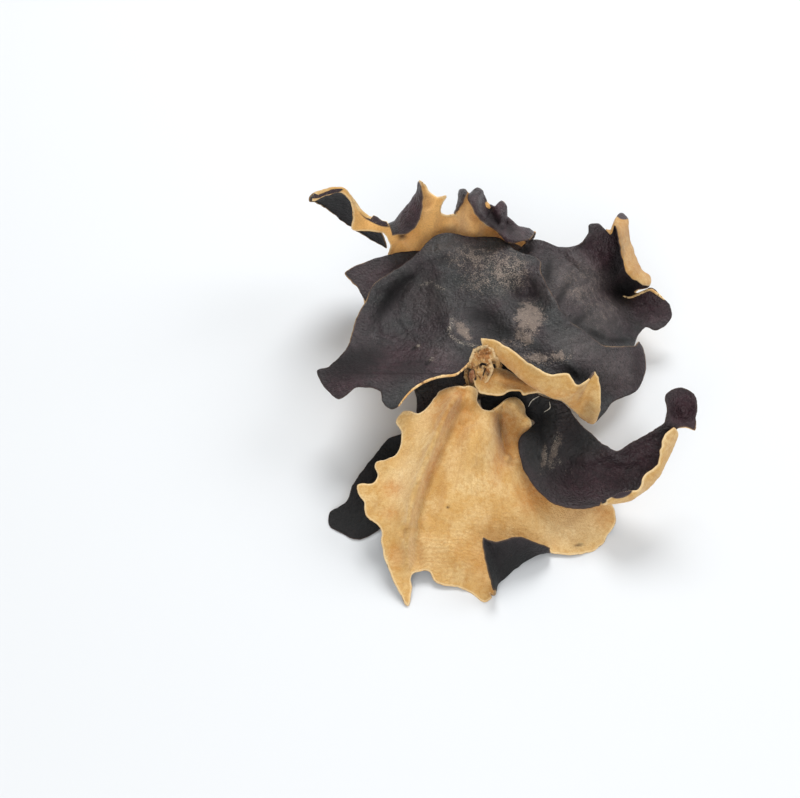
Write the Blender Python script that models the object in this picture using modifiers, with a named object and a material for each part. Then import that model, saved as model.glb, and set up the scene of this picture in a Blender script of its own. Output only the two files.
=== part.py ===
"""A clump of dried wood ear fungus: ears of thin leathery sheet that grow from one knotted base."""

import math

import bmesh
import bpy
import numpy as np
from mathutils import Vector
from mathutils.geometry import delaunay_2d_cdt

# Driving dimensions, in metres
SHEET_THICKNESS = 0.0012
JOINT_GAP = 0.0003
KNOT_WIDTH = 0.0125
KNOT_DEPTH = 0.0130
KNOT_HEIGHT = 0.0240
TABLE_SIZE = 0.400

# The visible faces are set out as an eye sees them from in front of the clump and above it
EYE_RISE = math.radians(50)
EYE_DISTANCE = 0.420
EYE_TARGET = Vector((-0.0326, -0.0064, 0.0200))

# Every point of a sheet is (across, up, height) in millimetres: across and up in the eye's view,
# from the middle of the view, and height above the table
MM = 0.001
EDGE_STEP = 3.2
INNER_STEP = 4.6
EDGE_CLEARANCE = 0.6
SHARP = 1
SOFT = 2
PLATE_GIVE = 4
TURN_SHARE = 0.35
TURN_LIMIT = 2.8
TURN_INSET = 0.6
TIP_SHARE = 0.5
MERGE_DISTANCE = 0.00002

DARK_COLOUR = (0.046, 0.034, 0.040)
TAN_COLOUR = (0.640, 0.400, 0.160)
KNOT_COLOUR = (0.400, 0.200, 0.070)

GREAT_OUTLINE = [
    (24, 12.7, 33),
    (21.3, 10, 33),
    (18.5, 7.8, 33),
    (13.7, 7.3, 33),
    (8.7, 5.7, 32.5),
    (4.3, 3, 31.5),
    (1.7, 0.3, 31),
    (-0.3, -2.3, 30),
    (-2.7, -3.3, 29),
    (-5.7, -1, 30),
    (-6.7, 2.7, 31),
    (-14, 4, 30),
    (-20.7, 0, 27),
    (-27.7, 9.3, 26),
    (-23.3, 11, 27),
    (-17.3, 17.7, 29),
    (-14.7, 26.3, 31),
    (-11.3, 33, 33),
    (-8, 38.7, 36),
    (-0.3, 43.7, 38),
    (5.3, 48, 40),
    (11, 53.7, 42),
    (15.3, 55.3, 43),
    (23, 54, 43),
    (33, 53.7, 42.5),
    (38.7, 49.3, 42),
    (46.7, 46.3, 42),
    (47, 42.3, 42),
    (50.7, 34.7, 41),
    (55.3, 27, 39),
    (62.3, 22, 36),
    (68.3, 17.7, 32),
    (77.7, 17.7, 26),
    (79.7, 19, 24),
    (81.7, 10.3, 20),
    (78.7, 3, 18),
    (70.7, -1, 19),
    (68, -4.7, 19),
    (64, -8.3, 18),
    (60, -7, 20),
    (57.7, -5, 24),
    (55.3, -2.3, 27),
    (53.3, -1, 29),
    (49.3, 0, 30),
    (45, 2.7, 31),
    (40, 6, 32),
    (36, 9.7, 33),
    (33, 12.3, 33.5),
    (30, 13, 33.5),
]
GREAT_FLAPS = {
    38: [
        (65.5, -6, 22),
        (66.8, -2, 30),
        (65.2, 8.9, 39),
        (61.8, 5.5, 37.8),
        (58.5, 4.7, 37.3),
        (56, 8.3, 39),
        (50, 8, 39),
        (43.3, 11.7, 39.5),
        (38, 15.7, 40),
        (31.3, 19.5, 40),
        (27, 20.3, 39),
    ],
}
GREAT_SPOTS = [
    (42.3, 34, 33),
    (35, 39.7, 39),
    (49, 38, 40.5),
    (48, 28, 38.5),
    (36.7, 29, 38),
    (1.7, 28, 27),
    (-6.7, 25.3, 29.5),
    (10, 33, 30),
    (6.7, 18, 30),
    (-10, 13, 29),
    (16.7, 24, 34),
    (20, 43, 38.5),
    (10, 46.5, 38.5),
    (30, 46.3, 41),
    (26.7, 34, 37.5),
    (53.3, 18, 36),
    (63.3, 13, 32),
    (70, 8, 25),
    (62, 1, 23),
    (67, 2, 21),
    (40, 18, 35),
    (31.7, 21.3, 35),
]
GREAT_FOLDS = [
    ([(-7, 35), (1, 41), (9, 47), (19, 50)], 1.1, 2.6, SOFT),
    ([(15, 46), (13, 38), (15, 30), (19, 24)], 1.5, 4, SOFT),
    ([(4, 42), (-3, 34), (-6, 26), (-2, 19)], -1.3, 3, SOFT),
    ([(30, 51), (37, 44), (46, 38), (53, 29)], 1.4, 4, SOFT),
    ([(-18, 5), (-8, 8), (4, 9), (13, 12)], 0.9, 3, SOFT),
    ([(46, 21), (56, 13), (66, 8), (76, 9)], 1.2, 4, SOFT),
]

REAR_OUTLINE = [
    (23, 6, 20.5),
    (17, 1, 15),
    (11.5, -3.5, 12),
    (6.3, -7, 10.3),
    (5.2, 2, 14.5),
    (-2, 15, 20),
    (-9, 28, 26),
    (-14, 37, 30),
    (-18.3, 42, 32),
    (-12.3, 45.3, 33),
    (0, 48.7, 34),
    (9.7, 49, 33.5),
    (24, 45.5, 34),
    (37, 48, 33),
    (44.3, 53, 34),
    (53.3, 50.7, 33),
    (59.3, 51.3, 34),
    (62.7, 55, 36),
    (63, 58, 38),
    (66, 58.2, 38),
    (68.7, 56.3, 37),
    (71, 57, 37),
    (72.3, 60.5, 39),
    (74, 62.3, 39),
    (76.3, 60.3, 37),
    (76.5, 57, 34),
    (77, 53.3, 31),
    (78.7, 48.3, 28),
    (81, 43.7, 25),
    (84, 41.3, 23),
    (83.3, 38, 21),
    (78.5, 35.7, 16),
    (80.5, 35.3, 17.5),
    (84, 37, 20),
    (87, 34, 19),
    (90, 31, 16),
    (90, 26.5, 13),
    (85.5, 22.7, 11.5),
    (82, 24, 12.5),
    (79, 20.5, 12.5),
    (77, 14, 13),
    (72, 6, 13),
    (62, 3, 16),
    (50, 4, 20),
    (33, 8, 22),
]
REAR_FLAPS = {
    20: [
        (68.7, 56.3, 38.5),
        (70.3, 55, 39.5),
        (71.2, 56.5, 41),
        (71.8, 57.5, 42),
        (72.3, 55.3, 41),
        (73, 51.5, 38.5),
        (73.7, 48, 35),
        (74.7, 44, 32),
        (76.3, 41, 29),
        (79, 39.3, 26.5),
        (81.5, 38, 24),
    ],
}
REAR_SPOTS = [
    (50, 40, 31),
    (57, 32, 29),
    (64, 26, 25),
    (66, 44, 29),
    (63, 50, 31.5),
    (30, 40, 29),
    (10, 35, 27),
    (71, 31, 20),
    (74.5, 37, 14),
    (72, 21, 18),
    (83, 30, 13),
]
REAR_FOLDS = [
    ([(54, 49), (61, 46), (69, 40)], 1.0, 3, SOFT),
    ([(57, 51), (64, 50), (70, 47)], -0.9, 2.5, SOFT),
]

FRONT_OUTLINE = [
    (21, 4.3, 29),
    (17.5, 3.7, 29),
    (13.3, 2.7, 28),
    (12, 0.5, 27.5),
    (8.5, -3.7, 26.5),
    (6, -5, 25.5),
    (3.5, -4.2, 25),
    (1, -4.3, 24.5),
    (-1.2, -7.5, 23.5),
    (0.3, -10.5, 22.5),
    (0.6, -14.5, 21.5),
    (-1, -18, 20),
    (-4, -19.9, 19),
    (-7.5, -20.8, 18),
    (-8.3, -22.8, 17.5),
    (-7.4, -25.3, 17),
    (-9, -28, 16.5),
    (-14, -28.6, 16),
    (-14, -31, 15),
    (-11.7, -35, 13.5),
    (-11.4, -38.5, 12.5),
    (-9, -40.8, 12),
    (-6.3, -43.5, 11),
    (-6, -48, 9),
    (-5, -53, 7),
    (-2.5, -59.5, 4),
    (2.5, -68.7, 0.5),
    (3.7, -63, 2.3),
    (3.7, -59, 3.5),
    (5.7, -57.7, 3.6),
    (9.7, -57.3, 3.2),
    (11.7, -60.7, 1.6),
    (15.3, -62, 1),
    (20, -62.8, 0.6),
    (24.3, -65, 0),
    (28, -67.5, 0.3),
    (31, -65.7, 0.3),
    (32.7, -63, 0.3),
    (35.3, -60.7, 0.3),
    (39.3, -57, 0.3),
    (43, -54.3, 0.4),
    (46.7, -52.5, 0.5),
    (50, -51.3, 1),
    (56.7, -52, 0.8),
    (63, -51, 0.3),
    (67, -48.7, 0.3),
    (69.3, -45, 1.2),
    (71.7, -41.3, 3.5),
    (71, -36, 5),
    (66.7, -29.7, 6),
    (60, -23, 8),
    (53.3, -16.3, 10),
    (47, -13, 12),
    (43.3, -11.3, 14.5),
    (43.7, -7.5, 20),
    (41.8, -5.2, 21.5),
    (41.2, -1.8, 22.5),
    (38.7, 0.3, 23),
    (35.7, 0, 23),
    (33, -2.3, 22.5),
    (30.5, -3.7, 22.5),
    (27.5, -3.3, 24),
    (25.8, -1, 26),
    (25.5, 3, 28),
]
FRONT_FLAPS = {
    36: [
        (31.2, -63.5, 6),
        (29.3, -57, 10),
        (27.7, -46.5, 13.5),
        (32, -47.8, 13),
        (38.3, -46, 12.5),
        (44, -47.5, 10),
        (49.7, -49.8, 5),
    ],
}
FRONT_SPOTS = [
    (22, -5, 24.5),
    (26, -14, 22),
    (34, -10, 19.5),
    (35, -22, 14),
    (20, -25, 18),
    (-5, -30, 15.5),
    (-2, -46, 10),
    (10, -30, 16.5),
    (25, -38, 12),
    (12, -46, 9),
    (20, -54, 5.5),
    (44, -32, 8),
    (30, -50, 3),
    (34, -55, 1),
    (38, -48, 2.2),
    (47, -45, 3),
    (54, -42, 3.5),
    (62, -42, 3),
]
FRONT_FOLDS = [
    ([(20.5, 2), (17.7, -0.5), (14.3, -7), (10, -17), (6.7, -25.3), (3.7, -33.7), (2.3, -44)], 4.2, 3.2, SHARP),
    ([(22, -6), (18.5, -12), (14.5, -21), (11.5, -30), (8.5, -42)], -2.0, 3.2, SOFT),
    ([(33.5, -5), (34, -11), (35.5, -19)], -1.8, 3, SOFT),
    ([(27, -6), (27.5, -14), (26, -24)], 1.2, 5, SOFT),
]

SIDE_OUTLINE = [
    (28, 3.5, 20),
    (27.5, -3, 18.5),
    (32, -5.5, 17.5),
    (38, -5.5, 17),
    (42.5, -6, 17.5),
    (45, -8, 18.5),
    (43, -10.2, 18.5),
    (40.3, -12.5, 18),
    (39.7, -17, 16),
    (42.7, -26, 13.5),
    (50, -34, 12),
    (60.3, -36.7, 12),
    (67, -35.5, 12),
    (70.5, -35.3, 11.5),
    (76.5, -34, 13),
    (82, -31, 15),
    (86, -26.7, 18),
    (89, -21.3, 21.5),
    (91.7, -16.5, 25),
    (92.6, -12.7, 28),
    (91.7, -10.3, 30.5),
    (95, -9.3, 31),
    (98.3, -10.5, 30),
    (98.5, -6.5, 33),
    (99, -2, 37),
    (97.5, 2, 40),
    (93, 3.7, 41),
    (88.8, 1.3, 39),
    (89, -3.7, 35.5),
    (88.3, -7.5, 33),
    (86.3, -9.3, 31),
    (81.7, -12.3, 27),
    (77, -14.7, 23.5),
    (72.3, -17.3, 21),
    (69, -16, 21),
    (64, -12, 22),
    (58.7, -7, 23.5),
    (54.7, -1.7, 24),
    (48.3, 0.5, 24),
    (33, 7, 22),
]
SIDE_FLAPS = {
    12: [
        (69, -33.7, 16),
        (74.3, -31, 20.5),
        (79.7, -30, 21.5),
        (81.5, -25.5, 24),
        (86, -21.7, 26.5),
        (87, -16.7, 30),
        (88.5, -12, 33),
        (91, -9.5, 33.5),
    ],
}
SIDE_SPOTS = [
    (48, -10, 18.5),
    (50, -25, 12),
    (60, -29, 9.5),
    (72, -27, 12),
    (80, -22, 17),
    (86, -16, 24),
    (94, -4, 32),
]
SIDE_FOLDS = [
    ([(73, -17.5), (66.7, -19.3), (58.7, -21.3)], 1.6, 3, SHARP),
]

UNDER_OUTLINE = [
    (22, 3, 18),
    (10, -5, 14),
    (0.3, -11.7, 11),
    (-4, -13.7, 9),
    (-7.7, -18, 7.5),
    (-12.3, -23.7, 6),
    (-15.7, -29, 4.5),
    (-17.7, -34, 3),
    (-23.3, -38, 1.5),
    (-23.3, -42, 0.3),
    (-19, -45, 0.3),
    (-13.7, -46.7, 0.4),
    (-8, -44, 0.5),
    (-1, -38, 2.5),
    (6, -28, 5),
    (16, -12, 10),
    (26, 0, 15),
]
UNDER_SPOTS = [(-8, -35, 1), (4, -15, 9)]

FRILL_OUTLINE = [
    (24, 4, 16),
    (14, 9, 7),
    (4, 16, 1.5),
    (-7, 24, 2),
    (-12, 33, 9),
    (-7.5, 40, 17),
    (-4.5, 47, 25),
    (-3.3, 51, 31),
    (-4, 53.3, 34),
    (-5.5, 55.3, 36.5),
    (-9, 56, 38.5),
    (-15.5, 56.7, 38),
    (-15.7, 60.5, 43.5),
    (-15.8, 64, 48),
    (-17, 67, 51.5),
    (-20, 68.8, 54),
    (-24.5, 68, 53),
    (-29.2, 66, 49.5),
    (-28.2, 69, 52.5),
    (-25, 70.7, 55),
    (-21.7, 71.7, 56.5),
    (-18.3, 71.4, 56),
    (-15.7, 68.5, 52),
    (-13.5, 64.3, 46),
    (-9.3, 61.3, 42),
    (-4, 59, 40.5),
    (0.7, 64, 47),
    (5, 69, 53),
    (6.3, 72.7, 58),
    (8, 71.5, 56),
    (10, 68.7, 53),
    (12.3, 67.3, 51.5),
    (15.3, 67.7, 52),
    (14, 64.7, 49),
    (13.7, 62, 46.5),
    (16, 61, 45.5),
    (18.3, 61.7, 46),
    (19, 65, 49),
    (19.3, 69.7, 54),
    (21.3, 70, 54.5),
    (23.3, 68.7, 53),
    (26, 71, 55),
    (28, 70, 54),
    (29, 67, 51),
    (32.3, 64.7, 48),
    (34, 67, 50),
    (36, 65.3, 48),
    (35.9, 62, 45),
    (40, 58.3, 41),
    (43, 57.7, 39),
    (45, 56, 36),
    (44.3, 53, 31),
    (42.5, 49, 25),
    (44, 42, 16),
    (41.5, 34, 8),
    (37, 25, 1.5),
    (34, 16, 2.5),
    (31, 9, 9),
    (30.5, 5, 15),
]
FRILL_FLAPS = {
    18: [
        (-30, 66, 45),
        (-26.7, 65, 38.5),
        (-23, 62.5, 32),
        (-19.3, 59.5, 28),
        (-15, 56.5, 24.5),
        (-9.5, 53, 21.5),
        (-4.5, 50.3, 20),
    ],
    25: [(-2.3, 54.5, 43.5), (4, 56, 47), (7.4, 63.5, 53), (7.3, 71, 60)],
    36: [(18.5, 61.7, 49), (20.5, 64.5, 53), (22, 67.5, 57), (22.3, 69, 57)],
    40: [
        (22.8, 67.8, 56),
        (23.3, 65.8, 57),
        (24.3, 63.5, 55.5),
        (26, 60.5, 53),
        (28, 58.5, 51),
        (30, 57.3, 49.5),
        (32, 56, 48),
        (34, 54.3, 46),
        (36, 52.3, 43.5),
        (39, 52.3, 42),
        (42.8, 53.2, 40.5),
    ],
}
FRILL_SPOTS = [
    (-1, 24, 0.3),
    (8, 24, 4),
    (17, 20.5, 0.3),
    (26, 24, 3.5),
    (33, 23, 0.3),
    (10, 59.7, 43),
    (23.3, 58, 42),
    (0, 53, 35),
    (10, 50, 30),
    (30, 50, 30),
    (4, 38, 12),
    (17, 39, 18),
    (33, 38, 12),
]

FRILL_FOLDS = [
    ([(17, 58), (16, 51), (15, 40), (13, 28)], -3.4, 3, SOFT),
    ([(25, 62), (24, 50), (22, 38), (22, 28)], 2.6, 3.5, SOFT),
    ([(8.5, 66), (7, 54), (3, 42), (1, 30)], 2.2, 3.5, SOFT),
    ([(33, 56), (34, 46), (34, 36), (30, 26)], -2.8, 3, SOFT),
    ([(0, 50), (-4, 40), (-7, 30)], -2.2, 2.5, SOFT),
]

COLLAR_OUTLINE = [
    (25, 9, 30),
    (32, 10.5, 31),
    (40, 7, 29.5),
    (47, 3, 28),
    (49, 1.5, 27.5),
    (46, 2, 27.3),
    (43.3, 1.7, 27),
    (41, 1.3, 27),
    (40, 2.7, 27.5),
    (37.7, 3, 27.5),
    (35, 2, 27),
    (32.3, 1.3, 27),
    (26, 2.7, 27),
]
COLLAR_SPOTS = [(38, 6, 30)]


def seen(points):
    """World points, in metres, for (across, up, height) points in the eye's view."""
    points = np.asarray(points, dtype=float)
    sight = np.array((0, math.cos(EYE_RISE), -math.sin(EYE_RISE)))
    upward = np.array((0, math.sin(EYE_RISE), math.cos(EYE_RISE)))
    target = np.array(EYE_TARGET)
    eye = target - sight * EYE_DISTANCE
    places = target + points[..., :1] * MM * np.array((1, 0, 0)) + points[..., 1:2] * MM * upward
    rays = places - eye
    reach = (points[..., 2:3] * MM - eye[2]) / rays[..., 2:3]
    return eye + rays * reach


def along(points, places):
    """Points on a smooth curve through the given ones; place 2.5 is half-way from the third to the fourth."""
    points = np.asarray(points, dtype=float)
    last = len(points) - 1
    chords = np.linalg.norm(np.diff(points, axis=0), axis=1) + 1e-9
    slopes = np.empty_like(points)
    slopes[0] = (points[1] - points[0]) / chords[0]
    slopes[-1] = (points[-1] - points[-2]) / chords[-1]
    if last > 1:
        slopes[1:-1] = (points[2:] - points[:-2]) / (chords[1:] + chords[:-1])[:, None]
    places = np.clip(np.asarray(places, dtype=float), 0, last)
    first = np.minimum(places.astype(int), last - 1)
    t = (places - first)[:, None]
    reach = chords[first][:, None]
    return (
        (2 * t**3 - 3 * t**2 + 1) * points[first]
        + (t**3 - 2 * t**2 + t) * reach * slopes[first]
        + (3 * t**2 - 2 * t**3) * points[first + 1]
        + (t**3 - t**2) * reach * slopes[first + 1]
    )


def bent_plate(spots):
    """A function that gives the height of a smooth plate pressed onto spot heights."""
    spots = np.asarray(spots, dtype=float)

    def pull(gaps):
        return gaps**2 * np.log(gaps + 1e-9)

    flat = spots[:, :2]
    count = len(spots)
    sides = np.c_[np.ones(count), flat]
    system = np.zeros((count + 3, count + 3))
    system[:count, :count] = pull(np.linalg.norm(flat[:, None] - flat[None], axis=2))
    system[:count, :count] += np.eye(count) * PLATE_GIVE
    system[:count, count:] = sides
    system[count:, :count] = sides.T
    weights = np.linalg.solve(system, np.r_[spots[:, 2], 0, 0, 0])

    def height(places):
        gaps = np.linalg.norm(places[:, None] - flat[None], axis=2)
        return pull(gaps) @ weights[:count] + np.c_[np.ones(len(places)), places] @ weights[count:]

    return height


def turned(points):
    """The signed area that a loop of view points goes round."""
    across, up = np.asarray(points)[:, 0], np.asarray(points)[:, 1]
    return 0.5 * float(np.sum(across * np.roll(up, -1) - np.roll(across, -1) * up))


def loop_of(outline, step):
    """A smooth loop through the outline's points, and the place of each of its points along them."""
    closed = [outline[-1], *outline, outline[0], outline[1]]
    places = []
    for index in range(len(outline)):
        start = np.asarray(outline[index])
        end = np.asarray(outline[(index + 1) % len(outline)])
        cuts = max(1, round(float(np.linalg.norm(end - start)) / step))
        places += [index + cut / cuts for cut in range(cuts)]
    places = np.array(places)
    return along(closed, places + 1), places


def crest_points(folds, step):
    """Points along the folds that are sharp on top."""
    points = [np.empty((0, 2))]
    for line, _, _, power in folds:
        if power == SHARP:
            lengths = np.r_[0, np.cumsum(np.linalg.norm(np.diff(line, axis=0), axis=1))]
            stops = np.linspace(0, lengths[-1], round(lengths[-1] / step) + 1)[1:-1]
            points.append(along(line, np.interp(stops, lengths, np.arange(len(line)))))
    return np.concatenate(points)


def inner_points(loop, crests, step):
    """Points in staggered rows over the inside of a loop, clear of its edge and of its crests."""
    edge = loop[:, :2]
    low = edge.min(axis=0)
    high = edge.max(axis=0)
    rise = step * math.sqrt(3) / 2
    points = []
    for row in range(int((high[1] - low[1]) / rise) + 1):
        shift = step / 2 * (row % 2)
        for column in range(int((high[0] - low[0]) / step) + 1):
            points.append((low[0] + shift + column * step, low[1] + row * rise))
    points = np.array(points)
    start = edge
    end = np.roll(edge, -1, axis=0)
    crosses = (start[:, 1] > points[:, 1:2]) != (end[:, 1] > points[:, 1:2])
    slope = (end[:, 0] - start[:, 0]) / (end[:, 1] - start[:, 1] + 1e-12)
    meets = start[:, 0] + slope * (points[:, 1:2] - start[:, 1])
    inside = np.sum(crosses & (points[:, :1] < meets), axis=1) % 2 == 1
    middle = (start + end) / 2
    gaps = np.linalg.norm(points[:, None] - np.r_[edge, middle, crests][None], axis=2).min(axis=1)
    return np.r_[points[inside & (gaps > step * EDGE_CLEARANCE)], crests]


def fold_rise(places, folds):
    """How far folds raise view places: each is (line, rise, width, power), highest on its line."""
    rise = np.zeros(len(places))
    for line, high, width, power in folds:
        line = np.asarray(line, dtype=float)
        start = line[:-1]
        run = np.diff(line, axis=0)
        offset = places[:, None] - start[None]
        share = np.clip(np.sum(offset * run, axis=2) / np.sum(run * run, axis=1), 0, 1)
        gaps = np.linalg.norm(offset - share[..., None] * run, axis=2).min(axis=1)
        ends = np.minimum(
            np.linalg.norm(places - line[0], axis=1),
            np.linalg.norm(places - line[-1], axis=1),
        )
        rise += high * np.exp(-((gaps / width) ** power)) * np.clip(ends / width, 0.3, 1)
    return rise


def ear_surface(outline, flaps, spots, folds, edge_step, inner_step):
    """View points and triangles of an ear: its face, and the flaps where its margin turns back."""
    loop, places = loop_of(outline, edge_step)
    height = bent_plate([*outline, *spots])
    clockwise = turned(loop) < 0
    turns = []
    for first, free in flaps.items():
        members = [i for i, place in enumerate(places) if first <= place <= first + len(free) - 1]
        tops = along(free, places[members] - first)
        across = np.roll(loop, 1, axis=0)[members, :2] - np.roll(loop, -1, axis=0)[members, :2]
        outward = np.c_[across[:, 1], -across[:, 0]] * (1 if clockwise else -1)
        outward /= np.linalg.norm(outward, axis=1)[:, None] + 1e-9
        spans = np.linalg.norm(tops - loop[members], axis=1)
        bulge = np.minimum(spans * TURN_SHARE, TURN_LIMIT)
        slope = (height(loop[members, :2]) - height(loop[members, :2] - outward)) * bulge
        swing = np.c_[outward * bulge[:, None], slope]
        turns.append((members, swing, tops))
    inset = np.zeros_like(loop)
    for members, swing, _ in turns:
        wider = np.linalg.norm(swing, axis=1) > np.linalg.norm(inset[members], axis=1)
        inset[members] = np.where(wider[:, None], swing, inset[members])
    loop -= inset * TURN_INSET
    crests = crest_points(folds, inner_step)
    inner = inner_points(loop, crests, inner_step)
    flat = [Vector(point) for point in np.r_[loop[:, :2], inner].tolist()]
    ring = list(range(len(loop)))
    if turned(loop) < 0:
        ring.reverse()
    found, _, faces, origins, _, _ = delaunay_2d_cdt(flat, [], [ring], 1, 1e-5)
    spread = np.array([tuple(point) for point in found])
    points = np.c_[spread, height(spread) + fold_rise(spread, folds)]
    at_loop = {}
    for index, sources in enumerate(origins):
        for source in sources:
            if source < len(loop):
                at_loop[source] = index
                points[index] = loop[source]
    points = points.tolist()
    faces = [tuple(face) for face in faces]
    for members, swing, tops in turns:
        bottoms = loop[members]
        rows = max(3, round(float(np.linalg.norm(tops - bottoms, axis=1).max()) * 1.2 / edge_step))
        below = [at_loop[member] for member in members]
        for row in range(1, rows + 1):
            t = row / rows
            out = 3 * t * (1 - t) ** 2
            back = 3 * t**2 * (1 - t)
            line = (1 - t) ** 3 * bottoms + out * (bottoms + swing) + t**3 * tops
            line += back * (tops + swing * TIP_SHARE)
            above = list(range(len(points), len(points) + len(members)))
            points += line.tolist()
            for i in range(len(members) - 1):
                faces.append((below[i], below[i + 1], above[i + 1], above[i]))
            below = above
    return np.array(points), faces


def material(name, colour, roughness):
    made = bpy.data.materials.new(name)
    made.use_nodes = True
    shader = made.node_tree.nodes["Principled BSDF"]
    shader.inputs["Base Color"].default_value = (*colour, 1)
    shader.inputs["Roughness"].default_value = roughness
    shader.inputs["Metallic"].default_value = 0
    made.diffuse_color = (*colour, 1)
    return made


def sheet(name, points, faces, top, underside, collection):
    """An ear: an open surface made a shell by Solidify."""
    mesh = bpy.data.meshes.new(name)
    mesh.from_pydata(seen(points).tolist(), [], faces)
    cells = bmesh.new()
    cells.from_mesh(mesh)
    bmesh.ops.remove_doubles(cells, verts=cells.verts, dist=MERGE_DISTANCE)
    bmesh.ops.recalc_face_normals(cells, faces=cells.faces)
    if sum(face.normal.z * face.calc_area() for face in cells.faces) < 0:
        bmesh.ops.reverse_faces(cells, faces=cells.faces)
    cells.to_mesh(mesh)
    cells.free()
    mesh.materials.append(top)
    mesh.materials.append(underside)
    mesh.shade_smooth()
    ear = bpy.data.objects.new(name, mesh)
    collection.objects.link(ear)
    shell = ear.modifiers.new("Thickness", "SOLIDIFY")
    shell.thickness = SHEET_THICKNESS
    shell.offset = 0
    shell.material_offset = 1
    return ear


def knot_mesh(name, swell):
    """The lump that every ear grows from, as wide again as swell on each side."""
    mesh = bpy.data.meshes.new(name)
    cells = bmesh.new()
    bmesh.ops.create_icosphere(cells, subdivisions=3, radius=1)
    half = Vector((KNOT_WIDTH / 2, KNOT_DEPTH / 2, KNOT_HEIGHT / 2))
    for vertex in cells.verts:
        x, y, z = vertex.co
        turn = math.atan2(y, x)
        grain = 1 + 0.07 * math.sin(5 * turn + 3 * z) + 0.05 * math.sin(9 * turn - 5 * z + 1)
        vertex.co = Vector((x * half.x * grain, y * half.y * grain, z * half.z))
        vertex.co += vertex.co.normalized() * swell
    cells.to_mesh(mesh)
    cells.free()
    mesh.shade_smooth()
    return mesh


def cut(ear, cutter, name):
    trim = ear.modifiers.new(name, "BOOLEAN")
    trim.operation = "DIFFERENCE"
    trim.solver = "EXACT"
    trim.use_self = True
    trim.object = cutter


def guide(name, mesh, collection):
    made = bpy.data.objects.new(name, mesh)
    made.hide_render = True
    made.display_type = "WIRE"
    collection.objects.link(made)
    return made


def table_mesh():
    """A block whose top is the table that the clump rests on."""
    mesh = bpy.data.meshes.new("table_cutter")
    cells = bmesh.new()
    bmesh.ops.create_cube(cells, size=TABLE_SIZE)
    bmesh.ops.translate(cells, verts=cells.verts, vec=(0, 0, -TABLE_SIZE / 2))
    cells.to_mesh(mesh)
    cells.free()
    return mesh


KNOT_PLACE = (27.5, 6.5, 25)
EARS = {
    "great_ear": (GREAT_OUTLINE, GREAT_FLAPS, GREAT_SPOTS, GREAT_FOLDS, "dark"),
    "rear_ear": (REAR_OUTLINE, REAR_FLAPS, REAR_SPOTS, REAR_FOLDS, "dark"),
    "frill_ear": (FRILL_OUTLINE, FRILL_FLAPS, FRILL_SPOTS, FRILL_FOLDS, "tan"),
    "front_ear": (FRONT_OUTLINE, FRONT_FLAPS, FRONT_SPOTS, FRONT_FOLDS, "tan"),
    "side_ear": (SIDE_OUTLINE, SIDE_FLAPS, SIDE_SPOTS, SIDE_FOLDS, "dark"),
    "under_ear": (UNDER_OUTLINE, {}, UNDER_SPOTS, [], "dark"),
    "collar_ear": (COLLAR_OUTLINE, {}, COLLAR_SPOTS, [], "tan"),
}


def build():
    for old in list(bpy.data.objects):
        bpy.data.objects.remove(old, do_unlink=True)
    clump = bpy.data.collections.new("wood_ear_clump")
    guides = bpy.data.collections.new("wood_ear_guides")
    bpy.context.scene.collection.children.link(clump)
    bpy.context.scene.collection.children.link(guides)
    dark = material("dark_face", DARK_COLOUR, 0.42)
    tan = material("tan_felt", TAN_COLOUR, 0.95)
    bark = material("knot", KNOT_COLOUR, 0.9)
    table = guide("table_cutter", table_mesh(), guides)
    knot_cutter = guide("knot_cutter", knot_mesh("knot_cutter", JOINT_GAP), guides)
    knot_cutter.location = Vector(seen(KNOT_PLACE))
    for name, (outline, flaps, spots, folds, face) in EARS.items():
        top, underside = (dark, tan) if face == "dark" else (tan, dark)
        points, faces = ear_surface(outline, flaps, spots, folds, EDGE_STEP, INNER_STEP)
        ear = sheet(name, points, faces, top, underside, clump)
        cut(ear, knot_cutter, "Clear of the knot")
        cut(ear, table, "Resting on the table")
    knot = bpy.data.objects.new("base_knot", knot_mesh("base_knot", 0))
    knot.data.materials.append(bark)
    knot.location = knot_cutter.location
    clump.objects.link(knot)


build()
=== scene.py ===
# %% [markdown]
# # A clump of dried wood ear fungus
# Wood ears are thin leathery lobes. Each lobe is tan felt on one side and smooth and nearly black
# on the other, and as it dries it curls until its margin shows both. This clump has seven ears that
# leave one torn knot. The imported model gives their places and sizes. Here every ear is made again
# as a fine sheet with real relief, and then gets its two skins and its cream cut edge.

import math

import bmesh
import bpy
import numpy as np
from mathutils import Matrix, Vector, kdtree, noise
from mathutils.bvhtree import BVHTree
from mathutils.geometry import delaunay_2d_cdt


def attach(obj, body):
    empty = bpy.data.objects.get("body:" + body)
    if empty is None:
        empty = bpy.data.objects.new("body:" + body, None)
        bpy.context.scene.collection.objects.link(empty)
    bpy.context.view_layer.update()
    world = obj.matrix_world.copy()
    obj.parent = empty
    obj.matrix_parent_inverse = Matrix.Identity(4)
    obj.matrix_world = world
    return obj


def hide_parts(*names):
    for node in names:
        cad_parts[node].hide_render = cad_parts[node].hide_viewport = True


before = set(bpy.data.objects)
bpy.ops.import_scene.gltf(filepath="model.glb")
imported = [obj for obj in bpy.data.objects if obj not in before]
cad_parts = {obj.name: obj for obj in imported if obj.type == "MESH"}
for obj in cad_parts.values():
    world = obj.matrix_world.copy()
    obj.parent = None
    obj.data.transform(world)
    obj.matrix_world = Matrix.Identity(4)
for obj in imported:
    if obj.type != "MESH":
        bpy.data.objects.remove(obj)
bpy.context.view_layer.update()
MM = 0.001

# %% [markdown]
# ## The eye that the ears are drawn from
# The ears overlap like leaves, so they are easiest to draw as an eye in front of the clump and
# above it sees them. A point is (across, up, height): the first two in millimetres in that view,
# the third in millimetres above the table. The sight ray through the view point, followed down to
# the height, gives the real place. The camera stands at the same eye.

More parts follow.
